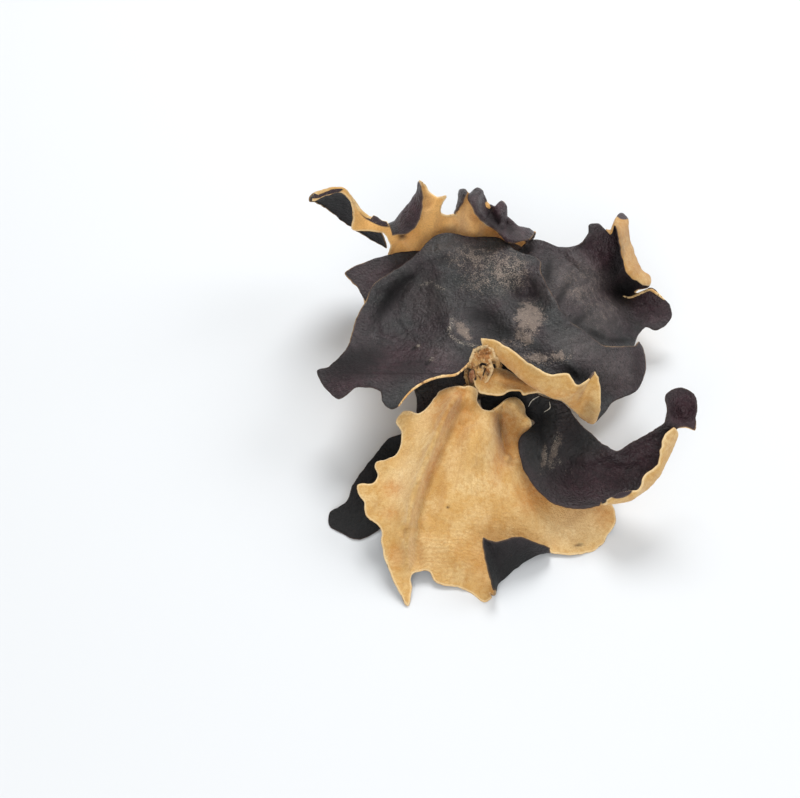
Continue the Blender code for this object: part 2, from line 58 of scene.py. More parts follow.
# %% View points to real places
EYE_RISE = math.radians(50)
EYE_DISTANCE = 0.420
EYE_TARGET = np.array(Vector((-0.0326, -0.0064, 0.0200)))
ACROSS = np.array((1, 0, 0))
SIGHT = np.array((0, math.cos(EYE_RISE), -math.sin(EYE_RISE)))
UPWARD = np.array((0, math.sin(EYE_RISE), math.cos(EYE_RISE)))
EYE = EYE_TARGET - SIGHT * EYE_DISTANCE


def seen(points):
    """World points, in metres, for (across, up, height) points in the eye's view."""
    points = np.asarray(points, dtype=float)
    places = EYE_TARGET + points[..., :1] * MM * ACROSS + points[..., 1:2] * MM * UPWARD
    rays = places - EYE
    reach = (points[..., 2:3] * MM - EYE[2]) / rays[..., 2:3]
    return EYE + rays * reach


def in_view(points):
    """Where the eye sees points given in millimetres: across and up, and their depth in metres."""
    offset = points * MM - EYE
    depth = offset @ SIGHT
    scale = EYE_DISTANCE / depth / MM
    return np.c_[offset[:, 0] * scale, offset @ UPWARD * scale], depth


KNOT_POINT = seen((27.5, 6.5, 25)) / MM
print("knot, mm:", KNOT_POINT.round(1))

# %% [markdown]
# ## Smooth curves through a few points
# An outline holds only the points that give it its shape. A Hermite curve, with its slopes scaled
# to the chords, goes through all of them and doesn't overshoot where they lie close together.

# %% Curves
TINY = 1e-9
SEED_X, SEED_Y, SEED_Z = 7.3, -3.1, 1.7


def along(points, places):
    """Points on a smooth curve: place 2.5 is half-way from the third given point to the fourth."""
    points = np.asarray(points, dtype=float)
    last = len(points) - 1
    chords = np.linalg.norm(np.diff(points, axis=0), axis=1) + TINY
    slopes = np.empty_like(points)
    slopes[0] = (points[1] - points[0]) / chords[0]
    slopes[-1] = (points[-1] - points[-2]) / chords[-1]
    if last > 1:
        slopes[1:-1] = (points[2:] - points[:-2]) / (chords[1:] + chords[:-1])[:, None]
    places = np.clip(np.asarray(places, dtype=float), 0, last)
    first = np.minimum(places.astype(int), last - 1)
    t = (places - first)[:, None]
    reach = chords[first][:, None]
    return (
        (2 * t**3 - 3 * t**2 + 1) * points[first]
        + (t**3 - 2 * t**2 + t) * reach * slopes[first]
        + (3 * t**2 - 2 * t**3) * points[first + 1]
        + (t**3 - t**2) * reach * slopes[first + 1]
    )


def turned(points):
    """The signed area that a loop of view points goes round."""
    across, up = np.asarray(points)[:, 0], np.asarray(points)[:, 1]
    return 0.5 * float(np.sum(across * np.roll(up, -1) - np.roll(across, -1) * up))


def grain(points, size, seed):
    """Smooth noise from about -1 to 1, for points in millimetres, with lumps of the given size."""
    shift = Vector((SEED_X * seed, SEED_Y * seed, SEED_Z * seed))
    return np.array([noise.noise(Vector(point) / size + shift) for point in points.tolist()])


print("area of a unit square:", turned([(0, 0), (1, 0), (1, 1), (0, 1)]))

# %% [markdown]
# ## The torn margin
# A dried margin is never a clean line: it has small waves, nicks and lobes. The outline's curve is
# cut into short steps, and noise then moves each point a little outwards or inwards.

# %% Fine margins
EDGE_STEP = 0.55
NICK_SIZES = ((3.1, 0.30), (1.1, 0.12))


def loop_of(outline):
    """A smooth nicked loop through the outline's points, and each point's place along them."""
    closed = [outline[-1], *outline, outline[0], outline[1]]
    places = []
    for index, start in enumerate(outline):
        run = np.subtract(outline[(index + 1) % len(outline)], start)
        cuts = max(1, round(float(np.linalg.norm(run)) / EDGE_STEP))
        places += [index + cut / cuts for cut in range(cuts)]
    places = np.array(places)
    loop = along(closed, places + 1)
    run = np.roll(loop, -1, axis=0)[:, :2] - np.roll(loop, 1, axis=0)[:, :2]
    outward = np.c_[run[:, 1], -run[:, 0]] / (np.linalg.norm(run, axis=1)[:, None] + TINY)
    for seed, (size, depth) in enumerate(NICK_SIZES):
        loop[:, :2] += outward * (grain(loop, size, seed) * depth)[:, None]
    return loop, places


print("margin steps, mm:", EDGE_STEP, "nicks:", NICK_SIZES)

# %% [markdown]
# ## Heights
# A thin plate pressed onto the margin's heights, and onto a few chosen spots inside, is how a
# stiff sheet bends. Folds, creases and wrinkles are lines that lift or lower it.

# %% Plates and folds
PLATE_GIVE = 4
SHARP = 1
SOFT = 2
FOLD_END = 0.3


def bent_plate(spots):
    """A function that gives the height of a smooth plate pressed onto spot heights."""
    spots = np.asarray(spots, dtype=float)

    def pull(gaps):
        return gaps**2 * np.log(gaps + TINY)

    flat = spots[:, :2]
    count = len(spots)
    sides = np.c_[np.ones(count), flat]
    system = np.zeros((count + 3, count + 3))
    system[:count, :count] = pull(np.linalg.norm(flat[:, None] - flat[None], axis=2))
    system[:count, :count] += np.eye(count) * PLATE_GIVE
    system[:count, count:] = sides
    system[count:, :count] = sides.T
    weights = np.linalg.solve(system, np.r_[spots[:, 2], 0, 0, 0])

    def height(places):
        gaps = np.linalg.norm(places[:, None] - flat[None], axis=2)
        level = np.c_[np.ones(len(places)), places] @ weights[count:]
        return pull(gaps) @ weights[:count] + level

    return height


def line_gaps(places, line):
    """How far view places lie from a line of straight runs."""
    line = np.asarray(line, dtype=float)
    run = np.diff(line, axis=0)
    offset = places[:, None] - line[None, :-1]
    share = np.clip(np.sum(offset * run, axis=2) / np.sum(run * run, axis=1), 0, 1)
    return np.linalg.norm(offset - share[..., None] * run, axis=2).min(axis=1)


def fold_rise(places, folds):
    """How far folds raise view places: each is (line, rise, width), and SHARP for a crease."""
    rise = np.zeros(len(places))
    for line, high, width, *sharp in folds:
        ends = np.minimum(
            np.linalg.norm(places - line[0], axis=1),
            np.linalg.norm(places - line[-1], axis=1),
        )
        fall = (line_gaps(places, line) / width) ** (sharp[0] if sharp else SOFT)
        rise += high * np.exp(-fall) * np.clip(ends / width, FOLD_END, 1)
    return rise


def dent_rise(places, dents):
    """How far round dents and lumps raise view places: each is (across, up, radius, rise)."""
    rise = np.zeros(len(places))
    for across, up, radius, high in dents:
        gaps = np.linalg.norm(places - (across, up), axis=1)
        rise += high * np.exp(-((gaps / radius) ** 2))
    return rise


sample = fold_rise(np.array([(5, 1)]), [([(0, 0), (9, 0)], 3, 2)])
print("a 3 mm fold, half its width away:", sample.round(2))

# %% [markdown]
# ## Filling an outline, and turning a margin back
# Rows of points fill the outline, and a constrained Delaunay triangulation joins them to the
# margin without slivers. Where a margin curls over the face it can't be a height any more, so it is
# a strip of its own: each rib of the strip is a cubic curve from the fold to the free edge.

# %% Points inside an outline
INNER_STEP = 0.62
EDGE_CLEARANCE = 0.6
LEVEL_REACH = 3.5
LEVEL_GIVE = 0.05
LEVEL_STRIDE = 4


def inner_points(loop, step):
    """Points in staggered rows over the inside of a loop, clear of its edge."""
    edge = loop[:, :2]
    after = np.roll(edge, -1, axis=0)
    near = kdtree.KDTree(len(edge))
    for index, (across, up) in enumerate(edge.tolist()):
        near.insert((across, up, 0), index)
    near.balance()
    low = edge.min(axis=0)
    high = edge.max(axis=0)
    rise = step * math.sqrt(3) / 2
    points = []
    for row in range(int((high[1] - low[1]) / rise) + 1):
        up = low[1] + row * rise
        crosses = (edge[:, 1] > up) != (after[:, 1] > up)
        start, end = edge[crosses], after[crosses]
        run = end - start
        meets = np.sort(start[:, 0] + (up - start[:, 1]) * run[:, 0] / run[:, 1])
        across = np.arange(low[0] + step / 2 * (row % 2), high[0], step)
        for place in across[np.searchsorted(meets, across) % 2 == 1]:
            if near.find((place, up, 0))[2] > step * EDGE_CLEARANCE:
                points.append((place, up))
    return np.array(points)


def levelled(places, heights, loop, loop_heights):
    """Heights brought smoothly to the margin's own height near the margin."""
    loop = loop[::LEVEL_STRIDE]
    wanted = loop[:, 2] - loop_heights[::LEVEL_STRIDE]
    gaps = np.linalg.norm(places[:, None] - loop[None, :, :2], axis=2)
    weights = np.exp(-((gaps / LEVEL_REACH) ** 2))
    return heights + weights @ wanted / (weights.sum(axis=1) + LEVEL_GIVE)


print("step inside the outlines, mm:", INNER_STEP)

# %% [markdown]
# ## The ribs of a turned margin
# A rib leaves the fold along the sheet's own slope, swings outwards, and comes back over the face
# to its place on the free edge, which wanders a little. The face is drawn in by most of that swing,
# so the turned margin still ends at the outline.

# %% Ear surfaces
TURN_SHARE = 0.35
TURN_LIMIT = 2.8
TURN_INSET = 0.6
TIP_SHARE = 0.5
FREE_WAVE = 2.3
FREE_DEPTH = 0.35
FREE_SEEDS = (5, 6)
RIB_RUN = 3
RIB_STRETCH = 1.2
JOIN_GAP = 1e-5


def turned_ribs(loop, places, flaps, height):
    """Where each flap starts and ends: its loop points, their swing outwards, and its free edge."""
    side = 1 if turned(loop) < 0 else -1
    turns = []
    for first, free in (flaps or {}).items():
        members = [i for i, place in enumerate(places) if first <= place <= first + len(free) - 1]
        tops = along(free, places[members] - first)
        waves = [grain(tops, FREE_WAVE, seed) for seed in FREE_SEEDS]
        tops[:, :2] += np.stack(waves, axis=1) * FREE_DEPTH
        before, after = np.roll(loop, RIB_RUN, axis=0), np.roll(loop, -RIB_RUN, axis=0)
        across = before[members, :2] - after[members, :2]
        outward = np.c_[across[:, 1], -across[:, 0]] * side
        outward /= np.linalg.norm(outward, axis=1)[:, None] + TINY
        spans = np.linalg.norm(tops - loop[members], axis=1)
        bulge = np.minimum(spans * TURN_SHARE, TURN_LIMIT)
        slope = (height(loop[members, :2]) - height(loop[members, :2] - outward)) * bulge
        turns.append((members, np.c_[outward * bulge[:, None], slope], tops))
    return turns


def ear_surface(outline, flaps=None, spots=(), folds=(), dents=(), cups=()):
    """View points and faces of an ear, and how many of the points are not of its flaps."""
    loop, places = loop_of(outline)
    height = bent_plate([*outline, *spots])
    turns = turned_ribs(loop, places, flaps, height)
    inset = np.zeros_like(loop)
    for members, swing, _ in turns:
        wider = np.linalg.norm(swing, axis=1) > np.linalg.norm(inset[members], axis=1)
        inset[members] = np.where(wider[:, None], swing, inset[members])
    loop -= inset * TURN_INSET
    flat = [Vector(point) for point in np.r_[loop[:, :2], inner_points(loop, INNER_STEP)].tolist()]
    ring = list(range(len(loop)))
    if turned(loop) < 0:
        ring.reverse()
    found, _, faces, origins, _, _ = delaunay_2d_cdt(flat, [], [ring], 1, JOIN_GAP)
    spread_out = np.array([tuple(point) for point in found])
    heights = height(spread_out) + fold_rise(spread_out, folds)
    loop_heights = height(loop[:, :2]) + fold_rise(loop[:, :2], folds)
    heights = levelled(spread_out, heights, loop, loop_heights) + dent_rise(spread_out, dents)
    points = np.c_[spread_out, heights]
    at_loop = {}
    for index, sources in enumerate(origins):
        for source in sources:
            if source < len(loop):
                at_loop[source] = index
                points[index] = loop[source]
    face_count = len(points)
    points = points.tolist()
    faces = [tuple(face) for face in faces]
    for members, swing, tops in turns:
        bottoms = loop[members]
        longest = float(np.linalg.norm(tops - bottoms, axis=1).max())
        rows = max(3, round(longest * RIB_STRETCH / INNER_STEP))
        below = [at_loop[member] for member in members]
        for row in range(1, rows + 1):
            t = row / rows
            out = 3 * t * (1 - t) ** 2
            back = 3 * t**2 * (1 - t)
            line = (1 - t) ** 3 * bottoms + out * (bottoms + swing) + t**3 * tops
            line += back * (tops + swing * TIP_SHARE)
            line[:, 2] += fold_rise(line[:, :2], cups) * min(1, 3 * t)
            above = list(range(len(points), len(points) + len(members)))
            points += line.tolist()
            for i in range(len(members) - 1):
                faces.append((below[i], below[i + 1], above[i + 1], above[i]))
            below = above
    return np.array(points), faces, face_count


print("a margin turns over by at most, mm:", TURN_LIMIT)

# %% [markdown]
# ## From a surface to a leathery sheet
# Solidify would give every ear one thickness and a square edge. A dried ear is thin at its margin
# and thicker near the knot, and its edge is rounded, so the two skins and the rim between them are
# made here. First come the tools for it: the way the surface faces, its open edges, values that
# vertices carry for the materials, and soft oval marks drawn in the view.

# %% Marks, normals and edges
MARK_EDGE = 1.5


def painted(places, marks):
    """A mask of soft ovals: each is (across, up, half width, half height, lean, amount)."""
    mask = np.zeros(len(places))
    for across, up, wide, tall, lean, amount in marks:
        offset = places - (across, up)
        turn = math.radians(lean)
        x = offset[:, 0] * math.cos(turn) + offset[:, 1] * math.sin(turn)
        y = offset[:, 1] * math.cos(turn) - offset[:, 0] * math.sin(turn)
        oval = ((x / wide) ** 2 + (y / tall) ** 2) ** MARK_EDGE
        mask = np.maximum(mask, amount * np.exp(-oval))
    return mask


def open_mesh(name, points, faces):
    """The bare surface's faces, with its upper side out, and its unit normals."""
    mesh = bpy.data.meshes.new(name)
    mesh.from_pydata(points.tolist(), [], faces)
    cells = bmesh.new()
    cells.from_mesh(mesh)
    bmesh.ops.recalc_face_normals(cells, faces=cells.faces)
    if sum(face.normal.z * face.calc_area() for face in cells.faces) < 0:
        bmesh.ops.reverse_faces(cells, faces=cells.faces)
    cells.to_mesh(mesh)
    cells.free()
    normals = np.empty(len(points) * 3)
    mesh.vertices.foreach_get("normal", normals)
    faces = [tuple(face.vertices) for face in mesh.polygons]
    bpy.data.meshes.remove(mesh)
    return faces, normals.reshape(-1, 3)


def open_edges(faces):
    """The directed edges that only one face has."""
    edges = {}
    for face in faces:
        for start, end in zip(face, face[1:] + face[:1]):
            edges[start, end] = True
    return [(start, end) for start, end in edges if (end, start) not in edges]


def carry(mesh, values):
    """Each vertex of a mesh carries these named values for the materials."""
    for key, value in values.items():
        layer = mesh.attributes.new(key, "FLOAT", "POINT")
        layer.data.foreach_set("value", value.astype(np.float32))


def placed(name, data):
    """An object in the scene that shows a mesh, a lamp or a camera."""
    made = bpy.data.objects.new(name, data)
    bpy.context.scene.collection.objects.link(made)
    return made


sample = painted(np.array([(4, 0)]), [(0, 0, 5, 5, 0, 1)])
print("a mark of 5 mm, 4 mm from its middle:", sample.round(2))

# %% [markdown]
# ## Two skins and a rounded rim
# Each skin and the rim have a material of their own. The vertices carry how far the margin is, the
# growth direction, and marks such as bloom and stains. Shade marks are painted shade, pale marks
# are painted light and sheen with a few truly paler patches, and stain marks are partly real stains
# and partly painted shade. Bloom marks are real bloom on the dark skin and painted highlights on
# the felt. On the face a mark colours the upper skin, and on a flap the lower one, because those
# are what the eye sees. Cream and pale marks colour both.

# %% Sheets
THIN = 0.55
THICK = 1.20
THICK_REACH = 9.0
KNOT_REACH = 22.0
RIM_BULGE = 0.30
TABLE_TOP = 0.04
LUMPS = ((9.0, 0.32), (3.4, 0.15), (1.5, 0.05))
GROWTH_ROOT = (24, 8)
MASKS = ("bloom_and_painted_light", "pale", "stain_and_shade", "shade", "comb", "night", "crust", "cream")
MASKS_OF_BOTH_SKINS = ("cream", "pale")


def sheet(name, surface, marks, seed):
    """An ear as one closed mesh with an upper skin, a lower skin and a rim."""
    places, faces, face_count = surface
    middle = seen(places) / MM
    faces, normals = open_mesh(name, middle, faces)
    for step, (size, rise) in enumerate(LUMPS):
        middle += normals * (grain(middle, size, seed + step) * rise)[:, None]
    edges = open_edges(faces)
    rim = sorted({start for start, _ in edges} | {end for _, end in edges})
    near = kdtree.KDTree(len(rim))
    for vertex in rim:
        near.insert(middle[vertex], vertex)
    near.balance()
    margin = np.array([near.find(point)[2] for point in middle.tolist()])
    to_knot = np.linalg.norm(middle - KNOT_POINT, axis=1)
    inside = np.clip(margin / THICK_REACH, 0, 1)
    rooted = np.clip(1 - to_knot / KNOT_REACH, 0, 1)
    swell = inside * 0.5 + rooted * 0.5
    half = (THIN + (THICK - THIN) * swell)[:, None] / 2
    outward = np.zeros_like(middle)
    for start, end in edges:
        run = middle[end] - middle[start]
        for vertex in (start, end):
            outward[vertex] += np.cross(run, normals[vertex])
    outward = outward[rim] / (np.linalg.norm(outward[rim], axis=1)[:, None] + TINY)
    bead = middle[rim] + outward * half[rim] * 2 * RIM_BULGE
    points = np.r_[middle + normals * half, middle - normals * half, bead]
    points[:, 2] = np.maximum(points[:, 2], TABLE_TOP)
    count = len(middle)
    bead_of = {vertex: 2 * count + index for index, vertex in enumerate(rim)}
    cells = list(faces)
    cells += [tuple(vertex + count for vertex in reversed(face)) for face in faces]
    for start, end in edges:
        cells.append((end, start, bead_of[start], bead_of[end]))
        cells.append((bead_of[end], bead_of[start], start + count, end + count))
    mesh = bpy.data.meshes.new(name)
    mesh.from_pydata((points * MM).tolist(), [], cells)
    skins = np.repeat((0, 1, 2), (len(faces), len(faces), 2 * len(edges)))
    mesh.polygons.foreach_set("material_index", skins.astype(np.int32))
    from_root = places[:, :2] - GROWTH_ROOT
    reach = np.linalg.norm(from_root, axis=1)
    bearing = np.arctan2(from_root[:, 1], from_root[:, 0])
    values = {"margin": margin, "reach": reach, "bearing": bearing}
    carry(mesh, {key: np.r_[value, value, value[rim]] for key, value in values.items()})
    on_face = np.arange(count) < face_count
    for key in MASKS:
        face = painted(places[:, :2], marks.get(key, ())) * on_face
        flap = painted(places[:, :2], marks.get("flap_" + key, ())) * ~on_face
        if key in MASKS_OF_BOTH_SKINS:
            face = flap = face + flap
        carry(mesh, {key: np.r_[face, flap, (face + flap)[rim]]})
    mesh.shade_smooth()
    print(name, "vertices", len(points), "size, mm", np.ptp(points, axis=0).round(1))
    return placed(name, mesh)


def dress(ear, node, skins):
    """The ear takes the place of its CAD solid and gets its two skins and its rim."""
    for material in skins:
        ear.data.materials.append(material)
    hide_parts(node)
    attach(ear, "root")


print("thickness, mm:", THIN, "to", THICK)

# %% [markdown]
# ## The great ear
# The largest ear lies on top with its smooth dark face up. A hollow sinks its middle, fine wrinkles
# run beside the raised left margin, and its front right margin turns over in a long tan lip. Folds
# and wrinkles are one list, and a sharp one says so.

# %% The sheet of the great ear
GREAT = {
    "outline": [
        (24, 12.7, 33), (21.3, 10, 33), (18.5, 7.8, 33), (13.7, 7.3, 33), (8.7, 5.7, 32.5),
        (4.3, 3, 31.5), (1.7, 0.3, 31), (-0.3, -2.3, 30), (-2.7, -3.3, 29), (-5.7, -1, 30),
        (-6.7, 2.7, 31), (-14, 4, 30), (-20.7, 0, 27), (-27.7, 9.3, 26), (-23.3, 11, 27),
        (-17.3, 17.7, 29), (-14.7, 26.3, 31), (-11.3, 33, 33), (-8, 38.7, 36), (-0.3, 43.7, 38),
        (5.3, 48, 40), (11, 53.7, 42), (15.3, 55.3, 43), (23, 54, 43), (33, 53.7, 42.5),
        (38.7, 49.3, 42), (46.7, 46.3, 42), (47, 42.3, 42), (50.7, 34.7, 41), (55.3, 27, 39),
        (62.3, 22, 36), (68.3, 17.7, 32), (77.7, 17.7, 26), (79.7, 19, 24), (81.7, 10.3, 20),
        (78.7, 3, 18), (70.7, -1, 19), (68, -4.7, 19), (64, -8.3, 18), (60, -7, 20), (57.7, -5, 24),
        (55.3, -2.3, 27), (53.3, -1, 29), (49.3, 0, 30), (45, 2.7, 31), (40, 6, 32), (36, 9.7, 33),
        (33, 12.3, 33.5), (30, 13, 33.5),
    ],
    "flaps": {
        38: [
            (65.5, -6, 22), (66.8, -2, 30), (65.2, 8.9, 39), (61.8, 5.5, 37.8), (58.5, 4.7, 37.3),
            (56, 8.3, 39), (50, 8, 39), (43.3, 11.7, 39.5), (38, 15.7, 40), (31.3, 19.5, 40),
            (27, 20.3, 39),
        ],
    },
    "spots": [
        (42.3, 34, 33), (35, 39.7, 39), (49, 38, 40.5), (48, 28, 38.5), (36.7, 29, 38),
        (1.7, 28, 27), (-6.7, 25.3, 29.5), (10, 33, 30), (6.7, 18, 30), (-10, 13, 29),
        (16.7, 24, 34), (20, 43, 38.5), (10, 46.5, 38.5), (30, 46.3, 41), (26.7, 34, 37.5),
        (53.3, 18, 36), (63.3, 13, 32), (70, 8, 25), (62, 1, 23), (67, 2, 21), (40, 18, 35),
        (31.7, 21.3, 35),
    ],
    "folds": [
        ([(-7, 35), (1, 41), (9, 47), (19, 50)], 1.1, 2.6),
        ([(15, 46), (13, 38), (15, 30), (19, 24)], 1.5, 4),
        ([(4, 42), (-3, 34), (-6, 26), (-2, 19)], -1.3, 3),
        ([(30, 51), (37, 44), (46, 38), (53, 29)], 1.4, 4),
        ([(-18, 5), (-8, 8), (4, 9), (13, 12)], 0.9, 3),
        ([(46, 21), (56, 13), (66, 8), (76, 9)], 1.2, 4),
        ([(4.7, 41.7), (1.3, 36.8), (-0.8, 31.8), (-0.8, 26.9), (1.3, 21.4)], -0.6, 0.8, SHARP),
        ([(6.2, 40.5), (3.2, 35.5), (1, 30.6), (1, 26.3), (3.2, 22), (6.2, 19.5)], 0.3, 0.7),
        ([(7.6, 38.5), (5.4, 34), (4, 29.5), (4.6, 25.5)], -0.2, 0.6),
        ([(3.8, 23.2), (8.7, 18.3), (16, 17), (23.5, 17.7)], 0.4, 1),
        ([(-3.5, 27), (-3.2, 21), (0.5, 16)], 0.3, 0.9),
        ([(-6, 24), (-5.6, 18), (-2, 13)], -0.4, 0.9),
        ([(-15, 6), (-8, 10), (0, 12.5), (8, 12.5)], -0.4, 0.9),
        ([(16.7, 29.3), (16.4, 25.7), (17.6, 22), (20.4, 19.5), (24.4, 18.6)], 0.3, 0.6),
        ([(56.1, 11.8), (58, 9.7), (59.8, 7.8)], 1.1, 0.6, SHARP),
        ([(38, 45), (44, 38), (49, 30)], -0.4, 1.2),
    ],
    "dents": [
        (27.8, 27.5, 6, -2.4), (33, 22, 4.5, -1.2), (43, 26, 5, 0.8), (5, 16.7, 0.7, -1.2),
        (3.7, 16.1, 0.5, -0.8), (9.9, 12.1, 0.6, -1.1), (8.4, 11.1, 0.6, -0.9),
    ],
}
GREAT_MARKS = {
    "bloom_and_painted_light": [
        (23.5, 46.6, 11, 6, 0, 0.5), (35.8, 43, 10, 7.5, -20, 0.6), (26, 39.2, 8, 7, 0, 0.45),
        (43.2, 26.9, 5.5, 6, -15, 1), (21, 22.5, 4.4, 1.9, -52, 1), (41.5, 20.7, 3.5, 4, 0, 0.9),
        (46.3, 13.3, 6, 2.6, -12, 0.8), (53, 14, 5, 2.6, 0, 0.7), (35.8, 18.3, 5, 2, 0, 0.5),
    ],
    # painted light and sheen, and one truly paler patch by the lens
    "pale": [
        (20, 50.5, 11, 4, 0, 0.6), (14, 15, 6, 4, 0, 0.5), (9, 34, 7, 8, 0, 0.6),
        (0, 45.5, 5, 4, 35, 0.4), (20.5, 23.5, 4.2, 2.2, -38, 0.8), (71, 10, 9, 7, 0, 0.7),
        (60, 17, 9, 5, -20, 0.9), (50, 36, 7, 4, -45, 0.5), (13, 52, 9, 2.5, 30, 0.4),
    ],
    "cream": [
        (12, 6.5, 11, 3.4, 5, 1), (21.5, 11, 5, 4, 40, 1), (28, 13.5, 6, 2.5, 0, 1),
        (81, 13, 2.5, 6, 0, 0.8), (47.2, 44, 3, 4, 0, 0.12), (51.5, 34, 2.5, 8, -30, 0.12),
        (59, 24.3, 2.5, 6, -55, 0.12), (69, 18, 8, 2.5, -10, 0.3), (-16, 26, 8, 16, -25, 0.35),
    ],
    "flap_cream": [(45, 8, 30, 20, 0, 1)],
    "shade": [
        (28.6, 27, 6.6, 3.6, -20, 1), (33, 22.4, 7, 3.2, -10, 0.8), (-4.2, 32.5, 2.6, 11, -33, 0.9),
        (-15, 11.5, 13, 6, 15, 0.95), (2, 9.5, 10, 4, 15, 0.6), (4.6, 16.5, 1.5, 0.9, 40, 1),
        (9.3, 11.7, 1.7, 0.8, 35, 1), (45, 17.5, 4, 1.5, -20, 0.5), (58.8, 8.6, 4.6, 2.2, -25, 0.9),
        (79, 11.5, 2.6, 8, 0, 0.6),
    ],
    "crust": [
        (17.3, 25.7, 0.6, 1.6, 0, 0.8), (16.7, 23, 0.6, 1.6, 0, 1), (17.8, 20.4, 1.4, 0.6, -45, 1),
        (20.4, 18.6, 1.8, 0.5, -28, 1), (24.4, 17.6, 2.4, 0.5, -10, 0.9),
        (13.5, 37, 2.2, 0.5, -25, 0.6), (10.6, 12.9, 1.3, 0.6, 35, 1),
        (6.2, 17.3, 0.8, 0.6, 35, 0.9), (9, 38.5, 2.4, 0.5, 20, 0.5), (30, 45, 7, 5, 0, 0.2),
        (35.5, 41, 6, 7, -30, 0.25),
    ],
    # plum, partly real stains and partly painted shade where the right margin bends down and on the
    # low left lobe
    "stain_and_shade": [
        (79, 11.5, 2.6, 8, 0, 1), (-1.8, 12, 14, 6.5, 15, 1), (11, 13, 9, 5, 0, 0.8),
        (-17, 7, 9, 6, 10, 1), (74, 10, 9, 8, 0, 0.5),
    ],
    "flap_shade": [
        (63.3, -3.7, 2.6, 4, 0, 0.35), (43.3, 11, 5, 1.2, -40, 0.15), (60, 2, 1.2, 4, 0, 0.15),
    ],
    "flap_stain_and_shade": [
        (35, 12, 8, 3, -30, 0.5), (45, 3, 9, 2, -35, 0.6), (59, 0, 5, 4, 0, 0.5),
        (52, 2, 7, 1.5, -10, 0.5),
    ],
}
great_ear = sheet("great_sheet", ear_surface(**GREAT), GREAT_MARKS, seed=10)

# %% [markdown]
# ## The rear ear
# Behind and to the right, dark side up again, with a tan curl that stands like a quill and a round
# lobe that folds over beside it.

# %% The sheet of the rear ear
REAR = {
    "outline": [
        (23, 6, 20.5), (17, 1, 15), (11.5, -3.5, 12), (6.3, -7, 10.3), (5.2, 2, 14.5), (-2, 15, 20),
        (-9, 28, 26), (-14, 37, 30), (-18.3, 42, 32), (-12.3, 45.3, 33), (0, 48.7, 34),
        (9.7, 49, 33.5), (24, 45.5, 34), (37, 48, 33), (44.3, 53, 34), (53.3, 50.7, 33),
        (59.3, 51.3, 34), (62.7, 55, 36), (63, 58, 38), (66, 58.2, 38), (68.7, 56.3, 37),
        (71, 57, 37), (72.3, 60.5, 39), (74, 62.3, 39), (76.3, 60.3, 37), (76.5, 57, 34),
        (77, 53.3, 31), (78.7, 48.3, 28), (81, 43.7, 25), (84, 41.3, 23), (83.3, 38, 21),
        (78.5, 35.7, 16), (80.5, 35.3, 17.5), (84, 37, 20), (87, 34, 19), (90, 31, 16),
        (90, 26.5, 13), (85.5, 22.7, 11.5), (82, 24, 12.5), (79, 20.5, 12.5), (77, 14, 13),
        (72, 6, 13), (62, 3, 16), (50, 4, 20), (33, 8, 22),
    ],
    "flaps": {
        20: [
            (68.7, 56.3, 38.5), (70.3, 55, 39.5), (71.2, 56.5, 41), (71.8, 57.5, 42),
            (72.3, 55.3, 41), (73, 51.5, 38.5), (73.7, 48, 35), (74.7, 44, 32), (76.3, 41, 29),
            (79, 39.3, 26.5), (81.5, 38, 24),
        ],
    },
    "spots": [
        (50, 40, 31), (57, 32, 29), (64, 26, 25), (66, 44, 29), (63, 50, 31.5), (30, 40, 29),
        (10, 35, 27), (71, 31, 20), (74.5, 37, 14), (72, 21, 18), (83, 30, 13),
    ],
    "folds": [
        ([(54, 49), (61, 46), (69, 40)], 1, 3), ([(57, 51), (64, 50), (70, 47)], -0.9, 2.5),
        ([(50, 50), (57, 45), (63, 37)], -0.6, 1.5), ([(70, 28), (74, 22), (79, 22)], -0.8, 1.5),
    ],
    "dents": [(73.5, 36, 4, -2), (84, 31, 4, 1.2)],
}
REAR_MARKS = {
    "bloom_and_painted_light": [(60, 38, 10, 9, -20, 0.4), (66, 30, 7, 8, 0, 0.35)],
    # lighter grey, partly the ear's own tone and partly painted light
    "pale": [(60, 39, 10, 9, -20, 1), (67, 28, 7, 7, 0, 0.9)],
    "cream": [(78, 34.5, 4, 2.6, 20, 1), (-15, 42, 6, 5, 0, 0.5), (74, 60, 4, 3, 0, 0.4)],
    "flap_cream": [(83, 38, 4, 5, 0, 0.7)],
    "flap_stain_and_shade": [(76, 48, 8, 18, 15, 0.45)],
    "flap_shade": [(73, 52, 1.4, 9, 12, 0.45), (77, 48, 6, 16, 20, 0.2)],
    "flap_night": [(74.6, 61.3, 2.6, 1.8, 0, 1)],
    "shade": [
        (74.8, 36, 4.6, 4.4, 0, 1), (6, 30, 8, 10, 0, 0.6), (41.5, 49.5, 3.2, 1.5, 20, 1),
        (72.5, 47, 2.4, 9, -15, 0.7), (49.3, 42, 1.6, 5, -8, 0.8), (53.5, 34, 1.5, 7, -28, 0.8),
        (59.3, 26, 1.4, 5, -55, 0.8), (65.5, 21.4, 4, 1.2, -30, 0.9), (72.5, 19.4, 5, 1.1, 0, 0.9),
    ],
    "stain_and_shade": [
        (66, 48, 7, 9, -20, 1), (84, 31, 8, 7, 0, 0.8), (-6, 40, 10, 5, 20, 0.6),
        (60, 38, 14, 12, -20, 0.5),
    ],
}
rear_ear = sheet("rear_sheet", ear_surface(**REAR), REAR_MARKS, seed=20)

# %% [markdown]
# ## The frill
# This ear stands up behind the others. Its tan side looks forward, its back is dark, and its top
# margin is drawn out in curls that show the dark skin. Cups are folds of those curls alone.

